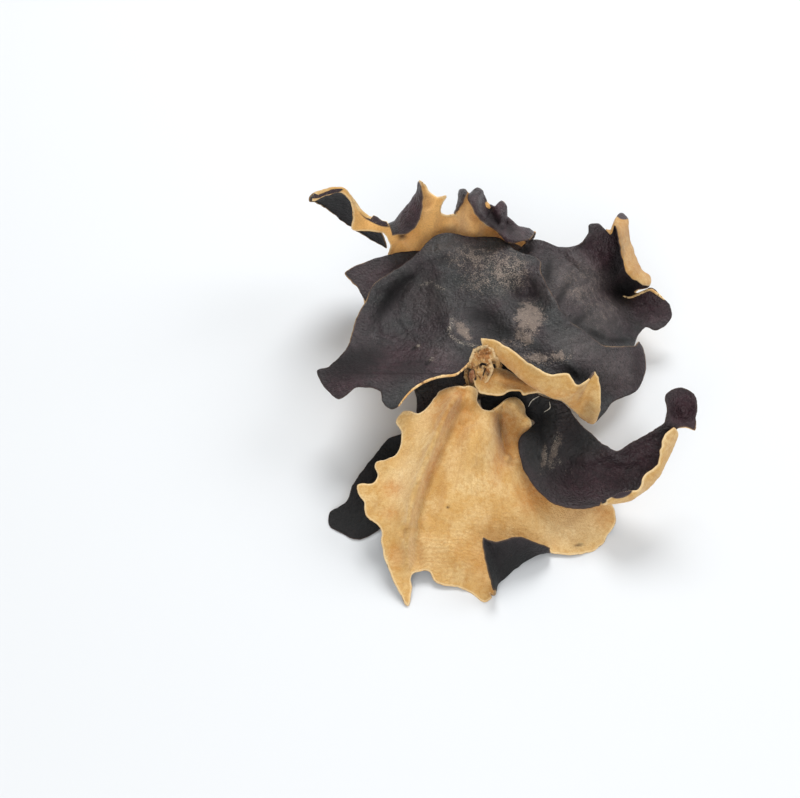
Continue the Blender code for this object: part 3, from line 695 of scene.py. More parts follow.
# %% The sheet of the frill
FRILL = {
    "outline": [
        (24, 4, 16), (14, 9, 7), (4, 16, 1.5), (-7, 24, 2), (-12, 33, 9), (-7.5, 40, 17),
        (-4.5, 47, 25), (-3.3, 51, 31), (-4, 53.3, 34), (-5.5, 55.3, 36.5), (-9, 56, 38.5),
        (-15.5, 56.7, 38), (-15.7, 60.5, 43.5), (-15.8, 64, 48), (-17, 67, 51.5), (-20, 68.8, 54),
        (-24.5, 68, 53), (-29.2, 66, 49.5), (-28.2, 69, 52.5), (-25, 70.7, 55), (-21.7, 71.7, 56.5),
        (-18.3, 71.4, 56), (-15.7, 68.5, 52), (-13.5, 64.3, 46), (-9.3, 61.3, 42), (-4, 59, 40.5),
        (0.7, 64, 47), (5, 69, 53), (6.3, 72.7, 58), (8, 71.5, 56), (10, 68.7, 53),
        (12.3, 67.3, 51.5), (15.3, 67.7, 52), (14, 64.7, 49), (13.7, 62, 46.5), (16, 61, 45.5),
        (18.3, 61.7, 46), (19, 65, 49), (19.3, 69.7, 54), (21.3, 70, 54.5), (23.3, 68.7, 53),
        (26, 71, 55), (28, 70, 54), (29, 67, 51), (32.3, 64.7, 48), (34, 67, 50), (36, 65.3, 48),
        (35.9, 62, 45), (40, 58.3, 41), (43, 57.7, 39), (45, 56, 36), (44.3, 53, 31),
        (42.5, 49, 25), (44, 42, 16), (41.5, 34, 8), (37, 25, 1.5), (34, 16, 2.5), (31, 9, 9),
        (30.5, 5, 15),
    ],
    "flaps": {
        18: [
            (-30, 66, 45), (-26.7, 65, 38.5), (-23, 62.5, 32), (-19.3, 59.5, 28), (-15, 56.5, 24.5),
            (-9.5, 53, 21.5), (-4.5, 50.3, 20),
        ],
        25: [(-2.3, 54.5, 43.5), (4, 56, 47), (7.4, 63.5, 53), (7.3, 71, 60)],
        36: [(18.5, 61.7, 49), (20.5, 64.5, 53), (22, 67.5, 57), (22.3, 69, 57)],
        40: [
            (22.8, 67.8, 56), (23.3, 65.8, 57), (24.3, 63.5, 55.5), (26, 60.5, 53), (28, 58.5, 51),
            (30, 57.3, 49.5), (32, 56, 48), (34, 54.3, 46), (36, 52.3, 43.5), (39, 52.3, 42),
            (42.8, 53.2, 40.5),
        ],
    },
    "spots": [
        (-1, 24, 0.3), (8, 24, 4), (17, 20.5, 0.3), (26, 24, 3.5), (33, 23, 0.3), (10, 59.7, 43),
        (23.3, 58, 42), (0, 53, 35), (10, 50, 30), (30, 50, 30), (4, 38, 12), (17, 39, 18),
        (33, 38, 12),
    ],
    "folds": [
        ([(17, 58), (16, 51), (15, 40), (13, 28)], -3.4, 3),
        ([(25, 62), (24, 50), (22, 38), (22, 28)], 2.6, 3.5),
        ([(8.5, 66), (7, 54), (3, 42), (1, 30)], 2.2, 3.5),
        ([(33, 56), (34, 46), (34, 36), (30, 26)], -2.8, 3),
        ([(0, 50), (-4, 40), (-7, 30)], -2.2, 2.5), ([(12, 64), (11, 58), (10, 50)], 0.6, 1.2),
        ([(21, 66), (20, 60), (19, 52)], -0.3, 1.2), ([(29, 62), (28, 56), (27, 50)], -0.6, 1.4),
        ([(2, 62), (1, 57), (0, 51)], -0.6, 1.2),
    ],
    "cups": [
        ([(27.7, 70), (26, 68), (25.3, 65.3), (26.7, 62), (29, 59.7), (33.3, 55.7),
          (36.3, 52.7)], 1.2, 0.7),
        ([(29, 67), (28.8, 64), (30.7, 61), (34, 57.5)], -3.6, 1.7),
        ([(34.8, 62.5), (35.2, 59), (37.5, 56.5)], -1.6, 1.1),
        ([(33, 62.3), (33.2, 60), (34, 58)], 0.8, 0.6),
    ],
}
FRILL_MARKS = {
    # painted light: the whole frill a paler gold
    "pale": [(10, 60, 45, 30, 0, 1)],
    # painted highlights in cream on the frill's cone
    "bloom_and_painted_light": [(20.5, 58.5, 4.5, 8, -15, 0.9), (8, 66, 3, 6, 0, 0.6), (28, 53, 5, 1.6, -35, 0.5)],
    "stain_and_shade": [(23, 58, 5, 8, -25, 0.4), (33, 56, 6, 4, -25, 1), (3, 55, 4, 3, 0, 0.7)],
    "shade": [(0.8, 54.5, 1.6, 1.2, 0, 0.9)],
    "night": [
        (-8.2, 61.2, 7, 2.9, -27, 1), (-24.2, 68.9, 6.5, 1.4, 16, 1),
        (38.3, 50.3, 4.5, 1.7, -25, 1), (44.5, 54, 3.5, 3, 0, 1),
    ],
    "cream": [(10, 60, 60, 60, 0, 1)],
    "flap_cream": [(10, 60, 60, 60, 0, 0.3)],
    "flap_shade": [
        (31, 59.5, 2.6, 6, 35, 0.85), (36, 57, 1.8, 3.4, 30, 0.8), (-20, 64, 9, 7, -30, 1),
        (-10, 54.5, 8, 5, -20, 1), (4, 58, 3, 4, 0, 0.4),
    ],
    "flap_stain_and_shade": [(33, 60, 14, 12, 0, 1), (5, 62, 8, 9, 0, 0.9)],
    # painted highlights on the lips of the curls
    "flap_pale": [
        (29.3, 67.3, 1.5, 2.4, 0, 0.9), (26, 64, 1.1, 4, 5, 0.9), (28.6, 58, 1.1, 3.5, 35, 0.9),
        (35, 61.5, 1.3, 2.2, 30, 0.6), (40, 54, 4, 2, -30, 0.5),
    ],
}
frill_ear = sheet("frill_sheet", ear_surface(**FRILL), FRILL_MARKS, seed=30)

# %% [markdown]
# ## The front ear
# The broad tan ear comes down to the table in front. A sharp crease runs the length of it, and at
# its front right one dark corner has turned over.

# %% The sheet of the front ear
FRONT = {
    "outline": [
        (21, 4.3, 29), (17.5, 3.7, 29), (13.3, 2.7, 28), (12, 0.5, 27.5), (8.5, -3.7, 26.5),
        (6, -5, 25.5), (3.5, -4.2, 25), (1, -4.3, 24.5), (-1.2, -7.5, 23.5), (0.3, -10.5, 22.5),
        (0.6, -14.5, 21.5), (-1, -18, 20), (-4, -19.9, 19), (-7.5, -20.8, 18), (-8.3, -22.8, 17.5),
        (-7.4, -25.3, 17), (-9, -28, 16.5), (-14, -28.6, 16), (-14, -31, 15), (-11.7, -35, 13.5),
        (-11.4, -38.5, 12.5), (-9, -40.8, 12), (-6.3, -43.5, 11), (-6, -48, 9), (-5, -53, 7),
        (-2.5, -59.5, 4), (2.5, -68.7, 0.5), (3.7, -63, 2.3), (3.7, -59, 3.5), (5.7, -57.7, 3.6),
        (9.7, -57.3, 3.2), (11.7, -60.7, 1.6), (15.3, -62, 1), (20, -62.8, 0.6), (24.3, -65, 0),
        (28, -67.5, 0.3), (31, -65.7, 0.3), (32.7, -63, 0.3), (35.3, -60.7, 0.3), (39.3, -57, 0.3),
        (43, -54.3, 0.4), (46.7, -52.5, 0.5), (50, -51.3, 1), (56.7, -52, 0.8), (63, -51, 0.3),
        (67, -48.7, 0.3), (69.3, -45, 1.2), (71.7, -41.3, 3.5), (71, -36, 5), (66.7, -29.7, 6),
        (60, -23, 8), (53.3, -16.3, 10), (47, -13, 12), (43.3, -11.3, 14.5), (43.7, -7.5, 20),
        (41.8, -5.2, 21.5), (41.2, -1.8, 22.5), (38.7, 0.3, 23), (35.7, 0, 23), (33, -2.3, 22.5),
        (30.5, -3.7, 22.5), (27.5, -3.3, 24), (25.8, -1, 26), (25.5, 3, 28),
    ],
    "flaps": {
        36: [
            (31.2, -63.5, 6), (29.3, -57, 10), (27.7, -46.5, 13.5), (32, -47.8, 13),
            (38.3, -46, 12.5), (44, -47.5, 10), (49.7, -49.8, 5),
        ],
    },
    "spots": [
        (22, -5, 24.5), (26, -14, 22), (34, -10, 19.5), (35, -22, 14), (20, -25, 18),
        (-5, -30, 15.5), (-2, -46, 10), (10, -30, 16.5), (25, -38, 12), (12, -46, 9),
        (20, -54, 5.5), (44, -32, 8), (30, -50, 3), (34, -55, 1), (38, -48, 2.2), (47, -45, 3),
        (54, -42, 3.5), (62, -42, 3),
    ],
    "folds": [
        ([(20.5, 2), (17.7, -0.5), (14.3, -7), (10, -17), (6.7, -25.3), (3.7, -33.7),
          (2.3, -44)], 4.2, 3.2, SHARP),
        ([(22, -6), (18.5, -12), (14.5, -21), (11.5, -30), (8.5, -42)], -2, 3.2),
        ([(33.5, -5), (34, -11), (35.5, -19)], -1.8, 3),
        ([(27, -6), (27.5, -14), (26, -24)], 1.2, 5),
        ([(3, -42), (2, -50), (3, -57)], 1.6, 2.2, SHARP),
        ([(5.6, -38), (4.8, -47), (5.8, -55)], -0.8, 1.8),
        ([(19.4, 1.2), (16.5, -2.4), (13.5, -9), (9.9, -17.3), (6.2, -26.6), (3.5, -37),
          (2.1, -48.7), (2.2, -57)], 1.1, 0.7, SHARP),
        ([(22, 1), (19.6, -2.5), (16.7, -9), (13.1, -17.3), (9.4, -26.6), (6.7, -37),
          (5.2, -48.7), (5.2, -57)], -1, 1.9),
        ([(36, 0.2), (38.6, -3), (41, -7.5)], 2, 2),
        ([(33.3, -3), (33, -8.5), (34, -14), (36, -20)], -3, 1.8),
        ([(24, -8), (23.5, -18), (22.9, -28)], 0.8, 2.5),
        ([(29, -14), (32, -24), (38, -33)], -0.6, 2.2), ([(16, -47), (19, -54), (23, -61)], 0.5, 2),
        ([(55, -45), (60, -40), (66, -36)], 0.5, 2),
    ],
    "dents": [(16, -36.2, 0.6, -0.5), (-4, -22, 3, 0.8), (-6, -34, 3, 0.7)],
}
FRONT_MARKS = {
    # rust brown, partly real stains and partly painted shade in the neck, the hood's hollow and
    # beside the crease
    "stain_and_shade": [
        (-2.3, -29.9, 4, 3, 0, 0.8), (-1.2, -52.3, 2.6, 4, 0, 0.9), (-3.5, -38, 3.4, 2.4, 0, 0.6),
        (43.6, -32.2, 5, 6, 20, 0.8), (35, -7.5, 4.5, 3.5, 0, 1), (68.2, -39, 4, 4, 0, 0.5),
        (10.5, -23, 2, 12, -22, 0.7), (33, -20, 3, 9, -10, 0.7), (20, 2, 3, 2.4, 0, 1),
        (17, -4, 8, 8, -20, 0.8), (36.5, -13, 5, 9, 0, 0.8),
    ],
    "shade": [
        (17, -4, 7, 6, -20, 0.18), (19.6, -4, 1.3, 5, -28, 0.3), (16.4, -11, 1.3, 5, -22, 0.3),
        (13, -19, 1.3, 5.5, -22, 0.28), (9.7, -27, 1.3, 5.5, -18, 0.26),
        (7.2, -35.5, 1.2, 5.5, -12, 0.22), (5.5, -44, 1.2, 6, -6, 0.2), (37, -10, 4, 7, 0, 0.38),
        (40, -4, 2.5, 1.6, 0, 0.2), (15.9, -36.2, 0.55, 0.5, 0, 1),
        (59.5, -48.8, 1.6, 0.5, 10, 0.7), (33.4, -8.5, 1.5, 6, 0, 0.6), (26, 1, 2.5, 4, 0, 0.4),
    ],
    # painted highlights in cream, on the crease's lit flank and the broad front right part
    "bloom_and_painted_light": [
        (1, -27, 4.5, 10, -15, 0.9), (8, -8, 3, 7, -25, 0.6), (20, -22, 6, 8, 0, 0.3),
        (8, -52, 8, 6, 0, 0.5), (58, -42, 12, 7, 10, 1), (44, -42, 8, 8, 0, 0.3),
    ],
    "comb": [(14, -52, 18, 10, 0, 1), (29, -42, 13, 9, 0, 0.55), (60, -44, 10, 6, 0, 0.3)],
    "cream": [(10, -30, 99, 99, 0, 1)],
    "flap_cream": [(40, -50, 40, 40, 0, 0.25)],
    "flap_shade": [(36, -56, 18, 12, 0, 0.9)],
}
front_ear = sheet("front_sheet", ear_surface(**FRONT), FRONT_MARKS, seed=40)

# %% [markdown]
# ## The side ear
# A dark trough that bends round to the right, lifts, and ends in a small round tip on a thin neck.

# %% The sheet of the side ear
SIDE = {
    "outline": [
        (28, 3.5, 20), (27.5, -3, 18.5), (32, -5.5, 17.5), (38, -5.5, 17), (42.5, -6, 17.5),
        (45, -8, 18.5), (43, -10.2, 18.5), (40.3, -12.5, 18), (39.7, -17, 16), (42.7, -26, 13.5),
        (50, -34, 12), (60.3, -36.7, 12), (67, -35.5, 12), (70.5, -35.3, 11.5), (76.5, -34, 13),
        (82, -31, 15), (86, -26.7, 18), (89, -21.3, 21.5), (91.7, -16.5, 25), (92.6, -12.7, 28),
        (91.7, -10.3, 30.5), (95, -9.3, 31), (98.3, -10.5, 30), (98.5, -6.5, 33), (99, -2, 37),
        (97.5, 2, 40), (93, 3.7, 41), (88.8, 1.3, 39), (89, -3.7, 35.5), (88.3, -7.5, 33),
        (86.3, -9.3, 31), (81.7, -12.3, 27), (77, -14.7, 23.5), (72.3, -17.3, 21), (69, -16, 21),
        (64, -12, 22), (58.7, -7, 23.5), (54.7, -1.7, 24), (48.3, 0.5, 24), (33, 7, 22),
    ],
    "flaps": {
        12: [
            (69, -33.7, 16), (74.3, -31, 20.5), (79.7, -30, 21.5), (81.5, -25.5, 24),
            (86, -21.7, 26.5), (87, -16.7, 30), (88.5, -12, 33), (91, -9.5, 33.5),
        ],
    },
    "spots": [
        (48, -10, 18.5), (50, -25, 12), (60, -29, 9.5), (72, -27, 12), (80, -22, 17), (86, -16, 24),
        (94, -4, 32),
    ],
    "folds": [
        ([(73, -17.5), (66.7, -19.3), (58.7, -21.3)], 1.6, 3, SHARP),
        ([(46.5, -4), (47, -10), (48.5, -16)], -1, 0.9),
        ([(51, -2), (50.5, -9), (52.5, -16)], 0.8, 1.1),
        ([(44, -12), (45, -19), (49, -27)], 0.5, 1), ([(62, -15), (58, -20), (57, -27)], -0.6, 1.4),
        ([(70, -20), (77, -21), (84, -17)], 0.5, 1.4),
    ],
    "dents": [(57, -27, 5, -0.8)],
}
SIDE_MARKS = {
    "bloom_and_painted_light": [(47.8, -20, 1.1, 5, -8, 1), (51.6, -17, 1.5, 6.5, -20, 1), (56, -24, 2, 1.5, 0, 0.4)],
    "crust": [
        (48.3, -18.5, 0.6, 3.5, -5, 0.8), (51.8, -14, 0.8, 3.5, -15, 0.8),
        (50.5, -22, 1.2, 1.5, 0, 0.5), (53, -21, 0.8, 1.5, 0, 0.5),
    ],
    "stain_and_shade": [
        (62, -27, 16, 8, 10, 1), (68, -27, 12, 7, 20, 1), (82, -20, 9, 9, 30, 1),
        (95, -4, 8, 9, 0, 1),
    ],
    "shade": [
        (46, -8, 9, 11, 0, 1), (58, -12, 7, 8, 0, 0.8), (34, 0, 10, 9, 0, 1),
        (52, -20, 14, 15, 0, 0.6),
    ],
    "flap_night": [(73, -30.8, 5, 2.2, 10, 1)],
    "cream": [(97, -10, 4, 2, 0, 0.8)],
    "flap_cream": [(80, -25, 30, 30, 0, 1)],
}
side_ear = sheet("side_sheet", ear_surface(**SIDE), SIDE_MARKS, seed=50)

# %% [markdown]
# ## The under ear
# Only its dark edge shows below the front ear, but it carries the clump on that side.

# %% The sheet of the under ear
UNDER = {
    "outline": [
        (22, 3, 18), (10, -5, 14), (0.3, -11.7, 11), (-4, -13.7, 9), (-7.7, -18, 7.5),
        (-12.3, -23.7, 6), (-15.7, -29, 4.5), (-17.7, -34, 3), (-23.3, -38, 1.5), (-23.3, -42, 0.3),
        (-19, -45, 0.3), (-13.7, -46.7, 0.4), (-8, -44, 0.5), (-1, -38, 2.5), (6, -28, 5),
        (16, -12, 10), (26, 0, 15),
    ],
    "spots": [(-8, -35, 1), (4, -15, 9)],
}
UNDER_MARKS = {
    "shade": [(-8, -28, 34, 44, 0, 0.95)],
}
under_ear = sheet("under_sheet", ear_surface(**UNDER), UNDER_MARKS, seed=60)

# %% [markdown]
# ## The collar
# A small tan ear right beside the knot, under the lip of the great ear, with a wavy front margin.

# %% The sheet of the collar
COLLAR = {
    "outline": [
        (25, 9, 30), (32, 10.5, 31), (40, 7, 29.5), (47, 3, 28), (49, 1.5, 27.5), (46, 2, 27.3),
        (43.3, 1.7, 27), (41, 1.3, 27), (40, 2.7, 27.5), (37.7, 3, 27.5), (35, 2, 27),
        (32.3, 1.3, 27), (26, 2.7, 27),
    ],
    "spots": [(38, 6, 30)],
    "folds": [
        ([(31, 8.5), (37, 6), (43, 3.5)], 0.7, 1.2), ([(34, 4.5), (39, 4), (43, 2.5)], -0.5, 1),
    ],
}
COLLAR_MARKS = {
    "stain_and_shade": [(38, 5.5, 8, 3, -20, 1), (29, 6, 3, 3, 0, 0.8)],
    "shade": [(41, 7, 6, 2.5, -25, 0.6), (35, 8.6, 5, 2, -35, 0.6), (39, 4.2, 6, 1.6, -10, 0.5)],
    "cream": [(38, 5, 30, 30, 0, 1)],
}
collar_ear = sheet("collar_sheet", ear_surface(**COLLAR), COLLAR_MARKS, seed=70)

# %% [markdown]
# ## Finishes
# A material is a small graph of nodes. Short helpers keep the graphs readable: one places a node
# and sets or links its inputs, others stretch, weigh or add up values, and one turns a web colour
# into Blender's linear numbers. A finish is then a first tint with others laid over it in turn,
# each by its own share, and a sum of small heights that tilts the normal.

# %% Node helpers


def tint(code):
    """The linear colour of a six-digit web colour."""
    values = [int(code[index:index + 2], 16) / 255 for index in (0, 2, 4)]
    return (*(v / 12.92 if v <= 0.04045 else ((v + 0.055) / 1.055) ** 2.4 for v in values), 1)


def fill(node, inputs):
    """Each input of a node is linked where its value is a socket, and set where it is not."""
    for name, value in inputs.items():
        if isinstance(value, bpy.types.NodeSocket):
            node.id_data.links.new(value, node.inputs[name])
        else:
            node.inputs[name].default_value = value


def put(tree, kind, inputs=None, **settings):
    """A node of that kind, with its settings, and its inputs set or linked."""
    node = tree.nodes.new(kind)
    for name, value in settings.items():
        setattr(node, name, value)
    fill(node, inputs or {})
    return node


def times(tree, first, second):
    return put(tree, "ShaderNodeMath", {0: first, 1: second}, operation="MULTIPLY").outputs[0]


def total(tree, *parts):
    """The sum of values, each times its own weight."""
    first, *others = [times(tree, value, weight) for value, weight in parts]
    for other in others:
        first = put(tree, "ShaderNodeMath", {0: first, 1: other}, operation="ADD").outputs[0]
    return first


def spread(tree, value, low, high, start=0.0, end=1.0):
    """A value brought smoothly from low..high to start..end, and kept there."""
    inputs = {0: value, 1: low, 2: high, 3: start, 4: end}
    return put(tree, "ShaderNodeMapRange", inputs, interpolation_type="SMOOTHSTEP").outputs[0]


def layered(tree, colour, *layers):
    """A colour with others, or web tints, laid over it in turn, each by its own share."""
    for share, layer in layers:
        layer = tint(layer) if isinstance(layer, str) else layer
        inputs = {0: share, 6: colour, 7: layer}
        colour = put(tree, "ShaderNodeMix", inputs, data_type="RGBA").outputs[2]
    return colour


def relief(tree, strength, depth, *heights):
    """The normal tilted by a weighted sum of heights; the depth is in metres."""
    inputs = {"Strength": strength, "Distance": depth, "Height": total(tree, *heights)}
    return put(tree, "ShaderNodeBump", inputs).outputs[0]


def mark(tree, name):
    """A value that the mesh carries."""
    return put(tree, "ShaderNodeAttribute", attribute_name=name).outputs["Fac"]


def new_material(name):
    """A plain material, its tree, its shader, and the socket of places on the piece in metres."""
    made = bpy.data.materials.new(name)
    made.use_nodes = True
    tree = made.node_tree
    places = put(tree, "ShaderNodeTexCoord").outputs["Object"]
    return made, tree, tree.nodes["Principled BSDF"], places


def new_group(name, kind, inputs, outputs):
    """An empty node group with named sockets, the sockets of its entry, and those of its exit."""
    group = bpy.data.node_groups.new(name, kind)
    for in_out, sockets in (("INPUT", inputs), ("OUTPUT", outputs)):
        for socket, value in sockets.items():
            group.interface.new_socket(socket, in_out=in_out, socket_type="NodeSocket" + value)
    entry = group.nodes.new("NodeGroupInput")
    leave = group.nodes.new("NodeGroupOutput")
    return group, entry.outputs, leave.inputs


print("a middle grey, linear:", tint("808080")[0])

# %% [markdown]
# ## Mottling that all the finishes share
# Dried tissue is never one colour. This group gives three masks from noise on the object's own
# coordinates: broad clouds about a centimetre wide, spots of a few millimetres, and grain. A fourth
# output is a pebble height, the small soft cells that leather and dried skin have. The group is
# built once, and each finish uses the masks in its own way.

# %% The mottling group
PER_METRE = 1000.0
MASK_SIZES = ("Cloud Size", "Spot Size", "Grain Size", "Pebble Size")
MASK_NAMES = ("Clouds", "Spots", "Grain", "Pebbles")
NOISE_DETAILS = (3.0, 5.0, 3.0)


def mottling_group():
    inputs = {"Place": "Vector", **dict.fromkeys(MASK_SIZES, "Float")}
    outputs = dict.fromkeys(MASK_NAMES, "Float")
    group, entry, leave = new_group("dried_mottling", "ShaderNodeTree", inputs, outputs)
    scales = [
        put(group, "ShaderNodeMath", {0: PER_METRE, 1: entry[size]}, operation="DIVIDE").outputs[0]
        for size in MASK_SIZES
    ]
    for scale, name, detail in zip(scales, MASK_NAMES, NOISE_DETAILS):
        clouds = {"Vector": entry["Place"], "Scale": scale, "Detail": detail}
        cloud = put(group, "ShaderNodeTexNoise", clouds).outputs["Fac"]
        group.links.new(spread(group, cloud, 0.3, 0.7), leave[name])
    cells = {"Vector": entry["Place"], "Scale": scales[-1]}
    gaps = put(group, "ShaderNodeTexVoronoi", cells, feature="SMOOTH_F1").outputs["Distance"]
    group.links.new(spread(group, gaps, 0.75, 0.15), leave["Pebbles"])
    return group


MOTTLING = mottling_group()


def mottling(tree, places, *sizes):
    """The four masks, for one finish, from its own four sizes in millimetres."""
    inputs = {"Place": places, **dict(zip(MASK_SIZES, sizes))}
    node = put(tree, "ShaderNodeGroup", inputs, node_tree=MOTTLING)
    return [node.outputs[name] for name in MASK_NAMES]


print("mottling nodes:", len(MOTTLING.nodes))

# %% [markdown]
# ## Growth streaks
# Ears grow outwards from the knot, so their streaks and wrinkles run along that direction. Each
# sheet carries its distance and its bearing from the knot, and noise that is long in the distance
# and short in the bearing gives streaks.

# %% The streak group
STREAK_WANDER = 9.0
STREAKS_ALONG = 0.10
STREAKS_AROUND = 22.0


def streak_group():
    inputs = {"Reach": "Float", "Bearing": "Float", "Place": "Vector"}
    outputs = {"Streaks": "Float"}
    group, entry, leave = new_group("growth_streaks", "ShaderNodeTree", inputs, outputs)
    bends = {"Vector": entry["Place"], "Scale": 90.0, "Detail": 2.0}
    wander = put(group, "ShaderNodeTexNoise", bends).outputs["Fac"]
    reach = times(group, total(group, (entry["Reach"], 1), (wander, STREAK_WANDER)), STREAKS_ALONG)
    bearing = times(group, entry["Bearing"], STREAKS_AROUND)
    place = put(group, "ShaderNodeCombineXYZ", {0: reach, 1: bearing}).outputs[0]
    lines = put(group, "ShaderNodeTexNoise", {"Vector": place, "Scale": 1.0, "Detail": 4.0})
    group.links.new(spread(group, lines.outputs["Fac"], 0.3, 0.7), leave["Streaks"])
    return group


STREAKS = streak_group()


def streaks(tree, places):
    """The streaks of a sheet, from the distance and the bearing that it carries."""
    inputs = {"Reach": mark(tree, "reach"), "Bearing": mark(tree, "bearing"), "Place": places}
    return put(tree, "ShaderNodeGroup", inputs, node_tree=STREAKS).outputs["Streaks"]


print("streak nodes:", len(STREAKS.nodes))

# %% [markdown]
# ## The dark skin
# The upper skin dries smooth and leathery, from slate in the middle to aubergine near the margin,
# with a taupe bloom where spores settled. Broken specks of that bloom make it look dusty. Plum
# stains are partly real and partly painted shade, pale marks paint a lighter ash-grey sheen, and
# shade marks paint shade nearly black. It is satin: roughness is low where it is bare, and rises on
# the bloom and in shaded hollows.

# %% Dark skin
DARK = {
    "slate": "333535",
    "black": "0C0C0D",
    "aubergine": "3A2F33",
    "plum": "422B32",
    "ash_and_painted_sheen": "625B5A",
    "bloom_and_painted_light": "7B6E65",
    "fleck": "A59586",
    "crust": "A89D8F",
    "edge": "8E6E54",
}


def dark_skin():
    made, tree, shader, places = new_material("dark_skin")
    clouds, spots, fine, pebbles = mottling(tree, places, 12.0, 2.2, 0.4, 0.8)
    lines = streaks(tree, places)
    bloom_and_painted_light = mark(tree, "bloom_and_painted_light")
    shade = mark(tree, "shade")
    broken = total(tree, (spots, 0.45), (fine, 0.35), (bloom_and_painted_light, 0.9))
    dusty = times(tree, spread(tree, broken, 0.72, 1.25, 0.0, 0.9), spread(tree, bloom_and_painted_light, 0.03, 0.5))
    crumbs = times(tree, spread(tree, fine, 0.90, 0.99), spread(tree, bloom_and_painted_light, 0.1, 0.8, 0.1, 0.8))
    crusted = times(tree, spread(tree, fine, 0.5, 0.8), mark(tree, "crust"))
    rim = times(tree, spread(tree, mark(tree, "margin"), 0.5, 0.05), mark(tree, "cream"))
    colour = layered(
        tree,
        tint(DARK["slate"]),
        (clouds, DARK["aubergine"]),
        # stain marks: plum, partly real stains and partly painted shade
        (mark(tree, "stain_and_shade"), DARK["plum"]),
        # pale marks: a painted sheen of lighter ash grey, with a few truly paler patches
        (times(tree, mark(tree, "pale"), 0.6), DARK["ash_and_painted_sheen"]),
        (spread(tree, lines, 0.1, 0.8, 0.22, 0.0), DARK["black"]),
        (spread(tree, spots, 0.0, 1.0, 0.34, 0.0), DARK["black"]),
        (spread(tree, fine, 0.1, 0.6, 0.35, 0.0), DARK["black"]),
        (dusty, DARK["bloom_and_painted_light"]),
        (crumbs, DARK["fleck"]),
        (crusted, DARK["crust"]),
        # shade marks: painted shade, nearly black
        (times(tree, shade, 0.85), DARK["black"]),
        (times(tree, rim, 0.8), DARK["edge"]),
    )
    satin = spread(tree, dusty, 0.0, 0.8, 0.33, 0.62)
    heights = ((pebbles, 0.6), (fine, 0.3), (spots, 0.6), (lines, 0.25))
    fill(shader, {
        "Base Color": colour,
        "Roughness": total(tree, (satin, 1), (fine, 0.12), (shade, 0.38)),
        "Normal": relief(tree, 0.85, 0.00036, *heights),
        "Specular IOR Level": 0.31,
    })
    return made


dark = dark_skin()
print("dark skin nodes:", len(dark.node_tree.nodes))

# %% [markdown]
# ## The tan felt
# The lower skin is a mat of fine hairs. Its colour wanders from straw to golden brown, it is combed
# into ripples near the outer margin, and painted shade makes its folds browner: its shade marks
# paint dark brown, and its rust stain marks are partly real stains and partly painted shade.
# Painted light makes parts of it a paler gold, and its bloom marks paint cream highlights. It has
# no gloss, only the faint sheen of short hairs. One mask turns it dark, for the places where the
# other skin shows through a twist.

# %% Tan felt
TAN = {
    "straw": "DFC088",
    "gold": "CDA565",
    "amber": "C4954F",
    "brown": "AE7B41",
    "rust": "C27A33",
    "cream": "EED6A8",
    "painted_light_gold": "F0B86E",
    "painted_shade_brown": "2E1D14",
}


def tan_felt():
    made, tree, shader, places = new_material("tan_felt")
    clouds, spots, fine, pebbles = mottling(tree, places, 7.0, 1.5, 0.32, 0.7)
    lines = streaks(tree, places)
    mat = {"Vector": places, "Scale": 2600.0, "Detail": 3.0}
    hairs = put(tree, "ShaderNodeTexNoise", mat).outputs["Fac"]
    waves = {"Vector": places, "Scale": 270.0, "Distortion": 7.0}
    waves |= {"Detail": 2.0, "Detail Scale": 1.3}
    comb = put(tree, "ShaderNodeTexWave", waves, bands_direction="Y").outputs["Fac"]
    combed = times(tree, comb, mark(tree, "comb"))
    stain_and_shade = times(tree, mark(tree, "stain_and_shade"), spread(tree, spots, 0.0, 1.0, 0.6, 1.0))
    near_edge = spread(tree, mark(tree, "margin"), 0.7, 0.05, 0.0, 0.7)
    twist = spread(tree, mark(tree, "night"), 0.35, 0.55)
    colour = layered(
        tree,
        tint(TAN["straw"]),
        (clouds, TAN["gold"]),
        (spread(tree, lines, 0.6, 1.0, 0.0, 0.3), TAN["brown"]),
        (spread(tree, spots, 0.3, 1.0, 0.0, 0.5), TAN["amber"]),
        # pale marks on the felt: painted light, a paler gold
        (times(tree, mark(tree, "pale"), 0.85), TAN["painted_light_gold"]),
        # bloom marks on the felt: painted highlights in cream
        (times(tree, mark(tree, "bloom_and_painted_light"), 0.5), TAN["cream"]),
        # stain marks: rust, partly real stains and partly painted shade in the folds
        (times(tree, stain_and_shade, 0.7), TAN["rust"]),
        (spread(tree, hairs, 0.35, 0.65, 0.0, 0.30), TAN["brown"]),
        (spread(tree, pebbles, 0.5, 0.0, 0.0, 0.16), TAN["brown"]),
        (times(tree, combed, 0.30), TAN["brown"]),
        (times(tree, near_edge, mark(tree, "cream")), TAN["cream"]),
        # shade marks on the felt: painted shade in dark brown
        (mark(tree, "shade"), TAN["painted_shade_brown"]),
        (twist, DARK["aubergine"]),
    )
    heights = ((hairs, 0.7), (fine, 0.5), (pebbles, 0.5), (combed, -0.7), (lines, 0.3))
    fill(shader, {
        "Base Color": colour,
        "Roughness": spread(tree, twist, 0.0, 1.0, 0.95, 0.5),
        "Normal": relief(tree, 0.7, 0.00025, *heights),
        "Specular IOR Level": 0.15,
        "Sheen Weight": 0.2,
        "Sheen Roughness": 0.5,
    })
    return made


felt = tan_felt()
print("felt nodes:", len(felt.node_tree.nodes))

# %% [markdown]
# ## The cut edge
# Between the two skins the margin shows a thin line of pale flesh. It is cream to straw along the
# tan ears and where an ear is torn, and brown and hardly visible along the smooth dark margins.
# Two thick rims have the same flesh, and they are cream all along.

# %% Pale flesh
EDGE = {"cream": "E8C994", "straw": "C99B5E", "bruise": "6A4526", "brown": "3B2C28"}


